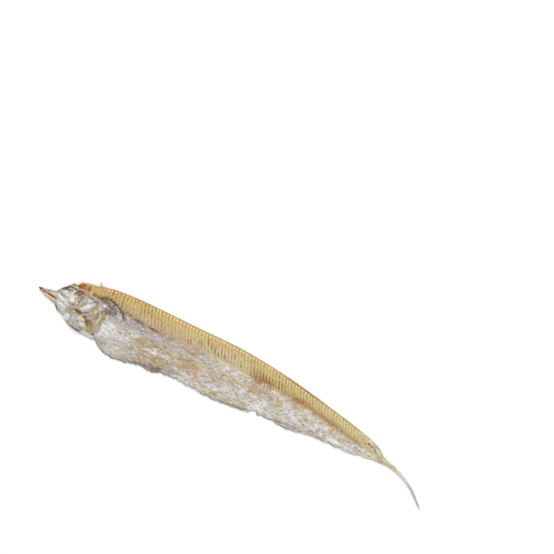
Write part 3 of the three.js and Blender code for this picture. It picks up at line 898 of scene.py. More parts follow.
def dissolve(tree, label, noise, most):
    """A layer that breaks up into the noise towards its rim."""
    broken = share(tree, noise, 0.3, 0.7, 0.45, 1.55)
    total = add(tree, "ShaderNodeMath", {0: kept(tree, label), 1: broken}, operation="MULTIPLY")
    return share(tree, total.outputs[0], 0.12, 0.85, 0.0, most)


def clouded(tree, label, seed, most):
    """A layer that shows as a broken cloud, thickest where the mesh keeps more of it."""
    cloud = grain(tree, (9, 4.6, 5), 5.0, 0.6, seed)
    total = add(tree, "ShaderNodeMath", {0: cloud, 1: 2.0, 2: kept(tree, label)}, operation="MULTIPLY_ADD")
    return share(tree, total.outputs[0], 1.08, 1.85, 0.0, most)


def new_finish(name, specular=0.4):
    """A material, its node tree and its shader."""
    material = bpy.data.materials.new(name)
    material.use_nodes = True
    shader = material.node_tree.nodes["Principled BSDF"]
    shader.inputs["Specular IOR Level"].default_value = specular
    return material, material.node_tree, shader


def dress(tree, shader, colour, roughness):
    """Gives a shader its colour and its roughness."""
    tree.links.new(colour, shader.inputs["Base Color"])
    tree.links.new(roughness, shader.inputs["Roughness"])


def set_bump(tree, shader, height, strength, distance):
    """Fine relief that is too small for the mesh."""
    bump = add(tree, "ShaderNodeBump", {"Height": height, "Strength": strength, "Distance": distance * MM})
    tree.links.new(bump.outputs["Normal"], shader.inputs["Normal"])


print("a mid grey of 128 is", round(paint(128, 128, 128)[0], 3), "in linear light")

# %% [markdown]
# ## The finish of the skin
# Bare flank is a mix of cream and grey in lengthwise streaks. The layers of the flank lie on it as broken
# clouds, with a faint tint of green and pink, and the oiled part is worn unevenly. Over them go the dark
# and orange spots of the flank and the layers of the head, the back, the edges and the tail, whose rims
# break up into crumbs; some of these layers hold painted shadow, as said where they are listed. Crests are
# lightened as a painted highlight, gullies are darkened towards tan as painted shade, and creases are
# darkened brown as painted shade. The sheen is uneven, because whole silver is smoother than torn skin.

# %% Skin finish
FLANK_CREAM = paint(209, 202, 186)
FLANK_GREY = paint(170, 162, 148)
GREEN_TINT = paint(176, 170, 126)
PINK_TINT = paint(198, 178, 184)
# painted shade: the tan that darkens the gullies of the crumpled skin
GULLY_SHADE = paint(134, 122, 102)
# painted highlight: the pale colour that lightens the crests of the crumpled skin
CREST_HIGHLIGHT = paint(226, 222, 214)
# painted shade: the brown laid into the creases of the head
CREASE_SHADE = paint(92, 76, 56)
FLANK_LAYERS = (
    # layer, colour, how much of it covers
    ("oiled", paint(170, 156, 130), 0.65),
    ("grey", paint(180, 177, 169), 0.75),
    ("tan", paint(168, 146, 116), 0.75),
    ("mustard", paint(160, 136, 84), 0.78),
    ("straw", paint(182, 166, 124), 0.75),
    ("lilac", paint(156, 147, 153), 0.85),
    ("mauve", paint(204, 194, 192), 0.7),
    ("white", paint(214, 213, 213), 0.75),
)
BODY_LAYERS = (
    ("orange", paint(182, 144, 104), 0.6),
    ("plum", paint(104, 88, 86), 0.9),
    ("bony", paint(166, 150, 124), 0.85),
    ("silver", paint(196, 198, 194), 0.9),
    # ash: mostly ashen bone, partly painted shadow beside the almond plate
    ("ash", paint(152, 151, 146), 0.8),
    ("bone", paint(216, 195, 164), 0.85),
    ("olive", paint(152, 136, 86), 0.9),
    ("pink", paint(172, 140, 136), 0.85),
    ("bright", paint(220, 218, 221), 0.9),
    ("mottle", paint(104, 90, 80), 0.9),
    ("band", paint(180, 154, 104), 1.0),
    ("gold", paint(178, 144, 78), 0.8),
    ("crest", paint(168, 104, 20), 0.95),
    ("fringe", paint(214, 190, 142), 0.85),
    ("blush", paint(196, 168, 144), 0.7),
    ("pale", paint(196, 184, 152), 0.6),
    ("green", paint(182, 170, 108), 0.7),
    ("rust", paint(156, 102, 62), 0.85),
    # seam: painted shadow along the seam under the band
    ("seam", paint(132, 116, 102), 0.6),
    ("slit", paint(126, 90, 40), 0.85),
    # brown: mostly the flesh's own colour, partly painted shadow under the gill fold and below the seam
    ("brown", paint(110, 78, 38), 0.9),
    ("tail_tan", paint(212, 202, 172), 0.85),
    ("tail_pale", paint(216, 216, 204), 0.9),
    ("tail_grey", paint(178, 176, 172), 0.9),
    ("stain", paint(160, 140, 94), 0.6),
    ("rim", paint(142, 112, 74), 0.85),
    ("edge", paint(124, 121, 118), 0.85),
    # dark: partly real dark spots, partly painted shadow under the gill fold, at the brow and along the seam
    ("dark", paint(72, 62, 52), 0.9),
)


def uneven(tree, colour, noise, least, most):
    """A colour made darker and lighter by noise."""
    light = share(tree, noise, 0.3, 0.7, least, most)
    node = add(tree, "ShaderNodeMix", {0: 1.0, 6: colour, 7: light}, data_type="RGBA", blend_type="MULTIPLY")
    return node.outputs[2]


def flank_colour(tree, streaks):
    """The flank with its patches."""
    colour = over(tree, share(tree, streaks, 0.4, 0.6), FLANK_GREY, FLANK_CREAM)
    for seed, (label, shade, most) in enumerate(FLANK_LAYERS, 1):
        colour = over(tree, clouded(tree, label, seed, most), colour, shade)
    tint = grain(tree, (6, 4, 4), 3.0, 0.55, 12)
    colour = washed(tree, colour, tint, 0.52, 0.68, 0.28, GREEN_TINT)
    colour = washed(tree, colour, tint, 0.48, 0.32, 0.28, PINK_TINT)
    wear = grain(tree, (5, 1.7, 3), 4.0, 0.6, 13)
    worn = uneven(tree, colour, wear, 0.8, 1.18)
    return over(tree, share(tree, kept(tree, "oiled"), 0.2, 0.7), colour, worn)


def skin_finish():
    """The finish of the skin, of the plates and of most bars."""
    material, tree, shader = new_finish("dried skin")
    streaks = grain(tree, (3.8, 2.1, 3), 5.0, 0.62)
    specks = grain(tree, (1.5, 1.0, 1), 3.0, 0.6)
    clouds = grain(tree, (9, 5, 5), 3.0, 0.55)
    crumbs = grain(tree, (2.6, 1.7, 2), 4.0, 0.62)
    colour = flank_colour(tree, streaks)
    for label, shade, most in BODY_LAYERS:
        colour = over(tree, dissolve(tree, label, crumbs, most), colour, shade)
    # painted shade in the gullies, then a painted highlight on the crests
    colour = washed(tree, colour, kept(tree, "crinkle"), 0.4, 0.05, 0.48, GULLY_SHADE)
    colour = washed(tree, colour, kept(tree, "crinkle"), 0.72, 0.98, 0.48, CREST_HIGHLIGHT)
    colour = uneven(tree, colour, clouds, 0.9, 1.08)
    colour = uneven(tree, colour, specks, 1.26, 0.72)
    # painted shade in the creases of the head
    colour = washed(tree, colour, kept(tree, "crease"), 0.2, 0.9, 0.7, CREASE_SHADE)
    dress(tree, shader, colour, share(tree, clouds, 0.35, 0.65, 0.42, 0.66))
    set_bump(tree, shader, specks, 0.4, 0.5)
    return material


SKIN = skin_finish()
skin.data.materials.append(SKIN)
print("skin finish:", len(FLANK_LAYERS) + len(BODY_LAYERS), "layers")

# %% [markdown]
# ## Tools for Geometry Nodes
# What repeats along the fish, or follows a line on it, is grown by Geometry Nodes: a tree takes lines,
# points or a patch of skin and gives back rods, beads, spikes or flakes. The tree's sizes are named inputs.
# The result is turned into a plain mesh at once, so that no modifier is left on the piece.

# %% Geometry Nodes helpers
def new_tree(name, sizes):
    """A tree that takes a geometry and some named sizes and gives a geometry."""
    tree = bpy.data.node_groups.new(name, "GeometryNodeTree")
    tree.interface.new_socket("Geometry", in_out="INPUT", socket_type="NodeSocketGeometry")
    for label, size in sizes.items():
        kind = "NodeSocketInt" if isinstance(size, int) else "NodeSocketFloat"
        tree.interface.new_socket(label, in_out="INPUT", socket_type=kind)
    tree.interface.new_socket("Geometry", in_out="OUTPUT", socket_type="NodeSocketGeometry")
    return tree, tree.nodes.new("NodeGroupInput")


def named(tree, label, kind="FLOAT"):
    """A number or a direction that the lines or the patch keep at their points."""
    return add(tree, "GeometryNodeInputNamedAttribute", {"Name": label}, data_type=kind).outputs[0]


def close_tree(tree, geometry, finish):
    """Ends a tree: instances become mesh, and the mesh gets its finish."""
    real = add(tree, "GeometryNodeRealizeInstances", {"Geometry": geometry})
    painted = add(tree, "GeometryNodeSetMaterial", {"Geometry": real.outputs[0], "Material": finish})
    end = tree.nodes.new("NodeGroupOutput")
    tree.links.new(painted.outputs[0], end.inputs["Geometry"])


def grow(piece, tree, sizes):
    """Runs a tree on a piece and keeps the result as the piece's plain mesh."""
    modifier = piece.modifiers.new(tree.name, "NODES")
    modifier.node_group = tree
    for item in tree.interface.items_tree:
        if item.in_out == "INPUT" and item.name in sizes:
            modifier[item.identifier] = sizes[item.name]
    graph = bpy.context.evaluated_depsgraph_get()
    grown = bpy.data.meshes.new_from_object(piece.evaluated_get(graph))
    piece.modifiers.clear()
    piece.data = grown
    return piece


def wire(name, lines, values):
    """Loose edges along lines in millimetres, with named numbers at their points."""
    points = []
    edges = []
    for line in lines:
        first = len(points)
        points.extend(in_frame(line).tolist())
        edges.extend((first + k, first + k + 1) for k in range(len(line) - 1))
    piece = new_piece(name, points, edges, [])
    for label, numbers_here in values.items():
        store(piece.data, label, np.concatenate(numbers_here))
    return piece


print("Geometry Nodes helpers are ready")

# %% [markdown]
# ## The ribs of the back
# Under the skin of the back stand the bones that carried the long fin. Drying pulls the skin down between
# them, so each shows as a round rib that ends in a pale bead at the back edge. The bone is ochre with
# golden beads, which are painted paler partly for their own colour and partly as a painted highlight, and
# no two ribs have quite the same tone. The layers that a rib crosses are painted on it too.

# %% Rib finish
RIB_LAYERS = (
    # layer, colour, how much of it covers
    ("gold", paint(186, 152, 92), 0.7),
    ("green", paint(192, 178, 114), 0.75),
    ("pale", paint(208, 197, 164), 0.7),
    ("blush", paint(206, 176, 150), 0.7),
    ("rust", paint(166, 110, 68), 0.85),
    # seam: painted shadow along the seam, on the ribs that reach it
    ("seam", paint(150, 130, 104), 0.6),
    ("stain", paint(156, 132, 84), 0.7),
    ("tail_tan", paint(200, 186, 146), 0.8),
)


def rib_finish():
    """The finish of the ribs and their beads."""
    material, tree, shader = new_finish("ribbed back", 0.45)
    blotch = grain(tree, (4, 2, 3), 4.0, 0.6)
    drift = grain(tree, (15, 6, 6), 2.0, 0.5)
    fine = grain(tree, (1.2, 1.0, 1.0), 3.0, 0.6)
    bead = add(tree, "ShaderNodeMath", {0: kept(tree, "knob"), 1: kept(tree, "reach")}, operation="SUBTRACT")
    colour = over(tree, kept(tree, "reach"), paint(204, 181, 128), paint(194, 171, 122))
    colour = washed(tree, colour, blotch, 0.42, 0.6, 0.7, paint(178, 150, 100))
    colour = washed(tree, colour, kept(tree, "tone"), 0.45, 1.0, 0.55, paint(210, 190, 144))
    colour = washed(tree, colour, drift, 0.48, 0.36, 0.6, paint(196, 160, 102))
    colour = washed(tree, colour, drift, 0.52, 0.64, 0.6, paint(206, 192, 150))
    # the beads are painted paler: partly their own pale bone, partly a painted highlight
    colour = washed(tree, colour, bead.outputs[0], 0.2, 0.8, 0.8, paint(228, 200, 144))
    for label, shade, most in RIB_LAYERS:
        colour = over(tree, dissolve(tree, label, blotch, most), colour, shade)
    colour = washed(tree, colour, fine, 0.56, 0.7, 0.5, paint(142, 110, 64))
    dress(tree, shader, colour, share(tree, blotch, 0.3, 0.7, 0.4, 0.6))
    set_bump(tree, shader, fine, 0.3, 0.3)
    return material


RIB_BONE = rib_finish()
print("rib finish:", len(RIB_BONE.node_tree.nodes), "nodes")

# %% [markdown]
# Ribs could be carved into the skin, but rods keep their round shape and a finish of their own. Each starts
# as a line from the back edge down to the seam: upright on the nape, where the first ones are faint, and
# leaning towards the tail along the body. Its points keep the girth, the tone and the layers that it
# crosses.

# %% Rib lines
RIB_POINTS = 11
BEAD_INSET = 2.3
RIB_GIRTH = 0.86
BEAD_GIRTH = 1.25
KNOB_GIRTH = 0.7
RIB_SINK = 0.25
FAINT_SINK = 0.4
LEAST_SIZE = 0.4
UNDER_SINK = 0.05
GROUND_GAP = 0.02
rib_draw = np.random.default_rng(71)


def rib_line(root, short):
    """Points of one rib from its bead down to the seam, flat on the measuring plane."""
    high = np.interp(root, along, back)
    lean = RIB_LEAN * lean_share(root)
    foot = root + lean * (high - np.interp(root, along, seam))
    low = np.interp(foot, along, seam) + short
    if foot < BAND_LOW[-1][0]:
        low = max(low, np.interp(foot, *zip(*BAND_LOW)) + short)
    across = np.linspace(high - BEAD_INSET, low, RIB_POINTS)
    return root + lean * (high - across), across


def rib_wire(side):
    """All ribs of one face, with their girth, tone and layers."""
    lines = []
    layer_names = [label for label, *_ in RIB_LAYERS]
    values = {label: [] for label in ("girth", "tone", "reach", "bead", *layer_names)}
    reach = np.linspace(0, 1, RIB_POINTS)
    for k in range(-2, RIB_COUNT + 1):
        root = FIRST_RIB + RIB_PITCH * k + rib_draw.normal(0, 0.2)
        size = rib_share(root) ** 0.6 * rib_draw.uniform(0.88, 1.12)
        length, across = rib_line(root, rib_draw.uniform(-0.2, 1.1))
        length = length + 0.16 * hills(across / 3, across * 0 + k * 0.37, 72)
        lumpy = 1 + 0.32 * hills(across / 1.9, across * 0 + k * 0.61, 73)
        girth = RIB_GIRTH * size * (1 - 0.4 * reach ** 2) * lumpy
        faint = between(length, (124, 138), (262, 275)) * between(reach, (0.05, 0.2), (0.5, 0.75))
        knobs = np.where(reach == 0, BEAD_GIRTH * size, np.where(reach == 1, KNOB_GIRTH * size, 0))
        knobs = knobs * rib_draw.uniform(0.85, 1.15)
        if side == "upper":
            height = skin_height(length, across) - (RIB_SINK + FAINT_SINK * faint) * girth
        else:
            lowest = np.maximum(girth, knobs) + GROUND_GAP
            height = np.maximum(under_height(length, across) - UNDER_SINK, lowest)
        if size < LEAST_SIZE:
            continue
        layers = colour_layers(length, across)
        lines.append(np.column_stack([length, across, height]))
        values["girth"].append(girth * MM)
        values["tone"].append(np.full(RIB_POINTS, rib_draw.uniform()))
        values["reach"].append(reach)
        values["bead"].append(knobs * MM)
        for label in layer_names:
            values[label].append(layers[label])
    return wire(f"{side}_ribs", lines, values)


upper_ribs = rib_wire("upper")
lower_ribs = rib_wire("lower")
print(len(upper_ribs.data.vertices) // RIB_POINTS, "ribs on each face")

# %% [markdown]
# In the tree, Mesh to Curve turns the lines into paths, Curve to Mesh sweeps a ring along them at the kept
# girth, and Instance on Points sets a bead wherever a bead size is kept.

# %% Rib tree
RIB_SIZES = {"Rib sides": 9, "Bead fineness": 2}


def rods(tree, lines, sides):
    """Round rods along lines, as thick as the girth that the lines keep."""
    path = add(tree, "GeometryNodeMeshToCurve", {"Mesh": lines})
    ring = add(tree, "GeometryNodeCurvePrimitiveCircle", {"Resolution": sides, "Radius": 1.0})
    swept = add(tree, "GeometryNodeCurveToMesh", {
        "Curve": path.outputs[0], "Profile Curve": ring.outputs["Curve"],
        "Scale": named(tree, "girth"), "Fill Caps": True,
    })
    return swept.outputs[0]


def rib_tree(finish):
    """The tree that grows ribs and their beads."""
    tree, given = new_tree("ribs", RIB_SIZES)
    ball = add(tree, "GeometryNodeMeshIcoSphere", {
        "Radius": 1.0, "Subdivisions": given.outputs["Bead fineness"],
    })
    marked = add(tree, "GeometryNodeStoreNamedAttribute", {
        "Geometry": ball.outputs["Mesh"], "Name": "knob", "Value": 1.0,
    })
    beads = add(tree, "GeometryNodeInstanceOnPoints", {
        "Points": given.outputs["Geometry"], "Selection": named(tree, "bead"),
        "Instance": marked.outputs[0], "Scale": named(tree, "bead"),
    })
    both = add(tree, "GeometryNodeJoinGeometry", {
        "Geometry": rods(tree, given.outputs["Geometry"], given.outputs["Rib sides"]),
    })
    tree.links.new(beads.outputs[0], both.inputs["Geometry"])
    close_tree(tree, both.outputs[0], finish)
    return tree


ribs_tree = rib_tree(RIB_BONE)
for ribs in (upper_ribs, lower_ribs):
    keep(grow(ribs, ribs_tree, RIB_SIZES))

# %% [markdown]
# ## Bars along lines
# Many parts of the fish are thin bars along a line: the jaws, the ridges of the head, the rolled fold, and
# the spine and the dried rim of the fin. One kind of tree sweeps them all. Only the line, the girth and the
# finish differ.

# %% Bars
BAR_SIZES = {"Sides": 10}
BAR_STEP = 0.9
LEAST_GIRTH = 0.08


def bar_tree(finish):
    """The tree that grows bars of one finish."""
    tree, given = new_tree("bars of " + finish.name, BAR_SIZES)
    close_tree(tree, rods(tree, given.outputs["Geometry"], given.outputs["Sides"]), finish)
    return tree


def smooth_line(points, step):
    """A rounded line through a few points, with one point at about every step."""
    points = np.asarray(points, float)
    ends = np.vstack([2 * points[0] - points[1], points, 2 * points[-1] - points[-2]])
    made = []
    for p0, p1, p2, p3 in zip(ends, ends[1:], ends[2:], ends[3:]):
        count = max(2, int(np.linalg.norm(p2 - p1) / step))
        t = column(np.linspace(0, 1, count, endpoint=False))
        made.append(0.5 * (2 * p1 + (p2 - p0) * t + (2 * p0 - 5 * p1 + 4 * p2 - p3) * t ** 2
                           + (3 * p1 - p0 - 3 * p2 + p3) * t ** 3))
    return np.vstack([*made, points[-1:]])


def bars(name, routes, finish, proud, seed):
    """Tapered bars on the skin. A route is points of length, height towards the back and girth."""
    draw = np.random.default_rng(seed)
    lines = []
    girths = []
    for route in routes:
        line = smooth_line(route, BAR_STEP)
        girth = np.maximum(line[:, 2], LEAST_GIRTH) * draw.uniform(0.86, 1.14, len(line))
        height = skin_height(line[:, 0], line[:, 1]) + (proud - 1) * girth
        lines.append(np.column_stack([line[:, :2], height]))
        girths.append(girth * MM)
    points = np.vstack(lines)
    layers = looks(*points.T[:2], np.zeros(len(points)))
    values = {label: [numbers_here] for label, numbers_here in layers.items()}
    return keep(grow(wire(name, lines, {**values, "girth": girths}), bar_tree(finish), BAR_SIZES))


print("a bar has", BAR_SIZES["Sides"], "sides and a step of", BAR_STEP, "mm")

# %% [markdown]
# ## Finishes of bare bone
# Most of the head wears the finish of the skin. Bare bone, horn and dried membrane have finishes of their
# own: the fold, the brow, the tip of the snout, the teeth, the fin and the fringe of the belly. The brow's
# dark tones are partly painted shadow. These finishes differ only in their colours, their grain and their
# gloss, so one function makes them all.

# %% Bone finishes
def bone_finish(name, light, dark, stain, size, rough, streak=1.0):
    """A finish of two tones and a stain. Size is its grain, and streak stretches the grain lengthwise."""
    material, tree, shader = new_finish(name, 0.45)
    broad = grain(tree, (size * streak, size, size), 4.0, 0.62)
    fine = grain(tree, (1.1 * streak, 0.9, 0.9), 3.0, 0.6)
    colour = over(tree, share(tree, broad, 0.4, 0.6), dark, light)
    colour = washed(tree, colour, fine, 0.54, 0.7, 0.6, stain)
    colour = washed(tree, colour, broad, 0.6, 0.72, 0.7, stain)
    dress(tree, shader, colour, share(tree, fine, 0.3, 0.7, rough - 0.1, rough + 0.12))
    set_bump(tree, shader, fine, 0.35, 0.35)
    return material


DARK_FOLD = bone_finish("dark fold", paint(116, 96, 72), paint(84, 68, 50), paint(58, 46, 34), 2.4, 0.55, 2.0)
# the brow's dark tones stand partly for its bone, partly for painted shadow under the edge of the skull
SHADED_BROW_BONE = bone_finish("shaded brow bone", paint(98, 92, 82), paint(72, 66, 58), paint(50, 44, 36), 2.0, 0.5)
print("finishes:", ", ".join(sorted(material.name for material in bpy.data.materials)))

# %% [markdown]
# The almond plate is mother-of-pearl: lilac at its lower end, greenish grey at its upper end, and with a
# streak along one side that turns from yellow-green to blue-grey. The shift of colour is painted along the
# plate by a Gradient, because a tint that turned with the camera would be lost on the mesh. A clear coat
# gives the shine.

# %% Pearl finish
PEARL_TURN = math.radians(50)
ALMOND = (47.1, 6.8)
PEARL_REACH = 7.0
PEARL_LILAC = paint(220, 206, 213)
PEARL_GREEN = paint(194, 197, 193)
PEARL_GREY = paint(186, 190, 187)
STREAK_LOW = paint(190, 190, 132)
STREAK_HIGH = paint(158, 165, 160)


def pearl_finish():
    """The finish of the almond plate."""
    material, tree, shader = new_finish("pearl", 0.5)
    where = add(tree, "ShaderNodeTexCoord")
    centre = in_frame([[*ALMOND, 0]])[0]
    turned = add(tree, "ShaderNodeMapping", {"Vector": where.outputs["Object"]}, vector_type="TEXTURE")
    turned.inputs["Location"].default_value = centre.tolist()
    turned.inputs["Rotation"].default_value = (0, 0, PEARL_TURN)
    turned.inputs["Scale"].default_value = [PEARL_REACH * MM] * 3
    slope = add(tree, "ShaderNodeTexGradient", {"Vector": turned.outputs["Vector"]})
    cloud = grain(tree, (3, 1.6, 2), 3.0, 0.55)
    wavy = add(tree, "ShaderNodeMath", {0: slope.outputs["Fac"], 1: cloud}, operation="ADD")
    colour = over(tree, share(tree, wavy.outputs[0], 0.3, 0.95), PEARL_LILAC, PEARL_GREEN)
    colour = washed(tree, colour, wavy.outputs[0], 0.95, 1.3, 0.6, PEARL_GREY)
    sides = add(tree, "ShaderNodeSeparateXYZ", {"Vector": turned.outputs["Vector"]})
    streak = over(tree, share(tree, sides.outputs["X"], -0.25, 0.3), STREAK_LOW, STREAK_HIGH)
    colour = washed(tree, colour, sides.outputs["Y"], 0.12, 0.34, 0.65, streak)
    tree.links.new(colour, shader.inputs["Base Color"])
    shader.inputs["Roughness"].default_value = 0.28
    shader.inputs["Coat Weight"].default_value = 0.35
    shader.inputs["Coat Roughness"].default_value = 0.2
    set_bump(tree, shader, cloud, 0.2, 0.3)
    return material


PEARL = pearl_finish()
print("pearl runs over", 2 * PEARL_REACH, "mm")

# %% [markdown]
# ## The plates of the head
# The bones of the head are thin crowned plates that overlap like roof tiles. A plate starts as its outline,
# a few given points. The stretches between them stay straight, as on broken bone, and are chipped a
# little.

# %% Plate outlines
RIM_STEP = 0.5
RIM_CHIPS = 0.3
CHIP_SIZE = 1.1
CHIP_SEEDS = (200, 201)
OVAL_POINTS = 48


def chipped_line(points, step, seed):
    """A closed outline of straight stretches, split at about every step and chipped a little."""
    points = np.asarray(points, float)
    made = []
    for start, end in zip(points, np.roll(points, -1, axis=0)):
        count = max(1, round(np.linalg.norm(end - start) / step))
        made.append(start + (end - start) * column(np.linspace(0, 1, count, endpoint=False)))
    line = np.vstack(made)
    chips = [hills(*line.T / CHIP_SIZE, seed + shift) for shift in CHIP_SEEDS]
    return line + RIM_CHIPS * np.column_stack(chips)


def counter_clockwise(outline):
    """The outline in the order that turns its faces up."""
    x, y = outline.T
    area = np.sum(x * np.roll(y, -1) - np.roll(x, -1) * y)
    return outline if area > 0 else outline[::-1]


def oval_outline(x, y, long, wide, turn, pinch):
    """Points of an oval, pinched at both ends into an almond."""
    angles = np.linspace(0, 2 * np.pi, OVAL_POINTS, endpoint=False)
    u = long * np.cos(angles)
    v = wide * np.sin(angles) * (1 - pinch * np.cos(angles) ** 2)
    c = math.cos(turn)
    s = math.sin(turn)
    return np.column_stack([x + u * c - v * s, y + u * s + v * c])


print("an outline has a point at every", RIM_STEP, "mm")

# %% [markdown]
# The outline is shrunk in rings towards its middle, and each ring rises a little more off the skin. A last
# ring under the rim sinks the plate into the head, so it is closed and leaves no gap. Low crests roughen
# its top.

# %% Plates
PLATE_RINGS = 9
RIM_PROUD = 0.12
RIM_SUNK = 0.7
CROWN_BEND = 2.4
ROUGH_BEND = 6
ROUGH_RISE = 0.2
ROUGH_LOOK = 0.55
ROUGH_SEED = 220


def plate_crests(flat, seed):
    """The low crests of a plate at points of its outline's plane."""
    return crests(flat[:, 0] / 2.8, flat[:, 1] / 1.7, ROUGH_SEED + seed)


def plate_points(rim, crown, seed):
    """Points of a plate: its sunk rim, its rings from the rim inwards, its top and its bottom."""
    middle = rim.mean(axis=0)
    rows = [np.column_stack([rim, skin_height(*rim.T) - RIM_SUNK])]
    for share_left in np.linspace(1, 1 / PLATE_RINGS, PLATE_RINGS):
        flat = middle + (rim - middle) * share_left
        rise = RIM_PROUD + crown * (1 - share_left ** CROWN_BEND)
        rough = ROUGH_RISE * plate_crests(flat, seed) * (1 - share_left ** ROUGH_BEND)
        rows.append(np.column_stack([flat, skin_height(*flat.T) + rise + rough]))
    return np.vstack([*rows, [[*middle, rows[-1][:, 2].mean()]], [[*middle, rows[0][:, 2].min()]]])


def plate_faces(size):
    """Faces between the rings of a plate whose rings have so many points."""
    last = PLATE_RINGS * size
    top = last + size
    bottom = top + 1
    faces = []
    for k in range(size):
        after = (k + 1) % size
        faces.append((bottom, after, k))
        faces.append((last + k, last + after, top))
        for low in range(0, last, size):
            high = low + size
            faces.append((low + k, low + after, high + after, high + k))
    return faces


def plate(name, outline, crown, finish, seed):
    """One crowned plate on the head."""
    rim = counter_clockwise(chipped_line(outline, RIM_STEP, seed))
    points = plate_points(rim, crown, seed)
    piece = new_piece(name, in_frame(points).tolist(), [], plate_faces(len(rim)))
    for label, numbers_here in looks(*points.T[:2], ROUGH_LOOK * plate_crests(points, seed)).items():
        store(piece.data, label, numbers_here)
    piece.data.materials.append(finish)
    return keep(piece)


print("a plate has", PLATE_RINGS, "rings")

# %% [markdown]
# Twelve plates wear the skin's finish. The thirteenth is the almond of the gill cover, crowned higher than
# the others and finished in mother-of-pearl.

# %% Head plates
HEAD_PLATES = (
    # name, crown, outline
    ("cheek_plate", 0.3, (
        (17.2, 7.2), (19.8, 10.2), (22.8, 13), (25.4, 12.4), (27.4, 13.6), (28.8, 11.4), (26.8, 9.2),
        (28.6, 6), (25.4, 5.6), (20.4, 6.4),
    )),
    ("cheek_blade", 0.4, (
        (26.8, 9.2), (29.4, 11.6), (32.2, 9.6), (33.6, 5.8), (33.2, 2.4), (31.2, 1.4), (29, 5.2),
    )),
    ("snout_plate", 0.25, (
        (13.4, 3), (17, 4.6), (22, 4.9), (28, 3.5), (30.4, 1.4), (27, 0.6), (19, 0.9),
    )),
    ("upper_gill_plate", 0.3, (
        (39.8, 9), (41.2, 12.6), (43.4, 14.8), (47.4, 15.6), (49.8, 14.4), (48.6, 12.4), (45.6, 10.4),
        (43.2, 8.6), (40.8, 7.4),
    )),
    ("lower_gill_plate", 0.35, (
        (36.4, -8), (38.2, -5.2), (42, -3.9), (46, -4.6), (48.6, -4.2), (50.6, -7), (51.2, -9.6),
        (52.6, -11.4), (51, -14), (48.6, -15), (46, -14.6), (42.6, -15.4), (39.4, -14.6), (37.2, -12),
    )),
    ("lower_gill_blade", 0.3, (
        (40, -13.4), (43, -14), (47, -13.6), (51.2, -12.8), (52.4, -15), (48, -16.6), (43, -16.2),
    )),
    ("chin_plate", 0.25, (
        (19.6, -4.2), (24, -2.9), (29, -3.4), (31, -5.4), (29.8, -8.6), (25.6, -9), (22, -7.8),
    )),
    ("throat_flap", 0.3, (
        (32.6, -7.6), (34.4, -7.2), (35.8, -8.4), (35.6, -12.2), (34, -13.2), (33, -11),
    )),
    ("crest", 0.35, (
        (29.6, 19), (29.8, 22.4), (31.6, 24.4), (34, 24.4), (37.4, 25.8), (41, 25.6), (41.4, 22.6),
        (39.6, 20.4), (36, 19.8), (33, 18.4),
    )),
    ("roof_plate", 0.25, (
        (24, 16.4), (27.4, 17.7), (31, 17.4), (36.6, 18), (39, 16.8), (33, 16),
    )),
    ("shoulder_flake", 0.2, (
        (54.8, 12.8), (56.4, 15.6), (59.4, 17.6), (62, 16.2), (60.8, 13.6), (58, 12.2),
    )),
    ("gill_cover_patch", 0.2, (
        (46.6, -2.4), (48, -0.8), (50.6, 1.1), (54, 3.4), (57.4, 4.6), (58, 3), (55.4, 0.6),
        (52.4, -1.4), (49.4, -2.7),
    )),
)
PEARL_LONG = 7.7
PEARL_WIDE = 3.1
PEARL_PINCH = 0.22
PEARL_CROWN = 0.6
for seed, (name, crown, outline) in enumerate(HEAD_PLATES):
    plate(name, outline, crown, SKIN, seed)
almond = oval_outline(*ALMOND, PEARL_LONG, PEARL_WIDE, PEARL_TURN, PEARL_PINCH)
plate("pearl_plate", almond, PEARL_CROWN, PEARL, len(HEAD_PLATES))

# %% [markdown]
# ## Jaws and ridges
# The upper jaw is two ridges that run back from the dark tip, and the lower jaw is one bar under the line
# of the mouth. Seven low ridges of dried skin stand over the bones of the cheek, the gill cover and the
# shoulder. The rolled fold over the gill cover is bare and dark, and the brow is dark partly from its bone
# and partly from painted shadow under the edge of the skull. A route is written as points of length,
# height towards the back and girth.

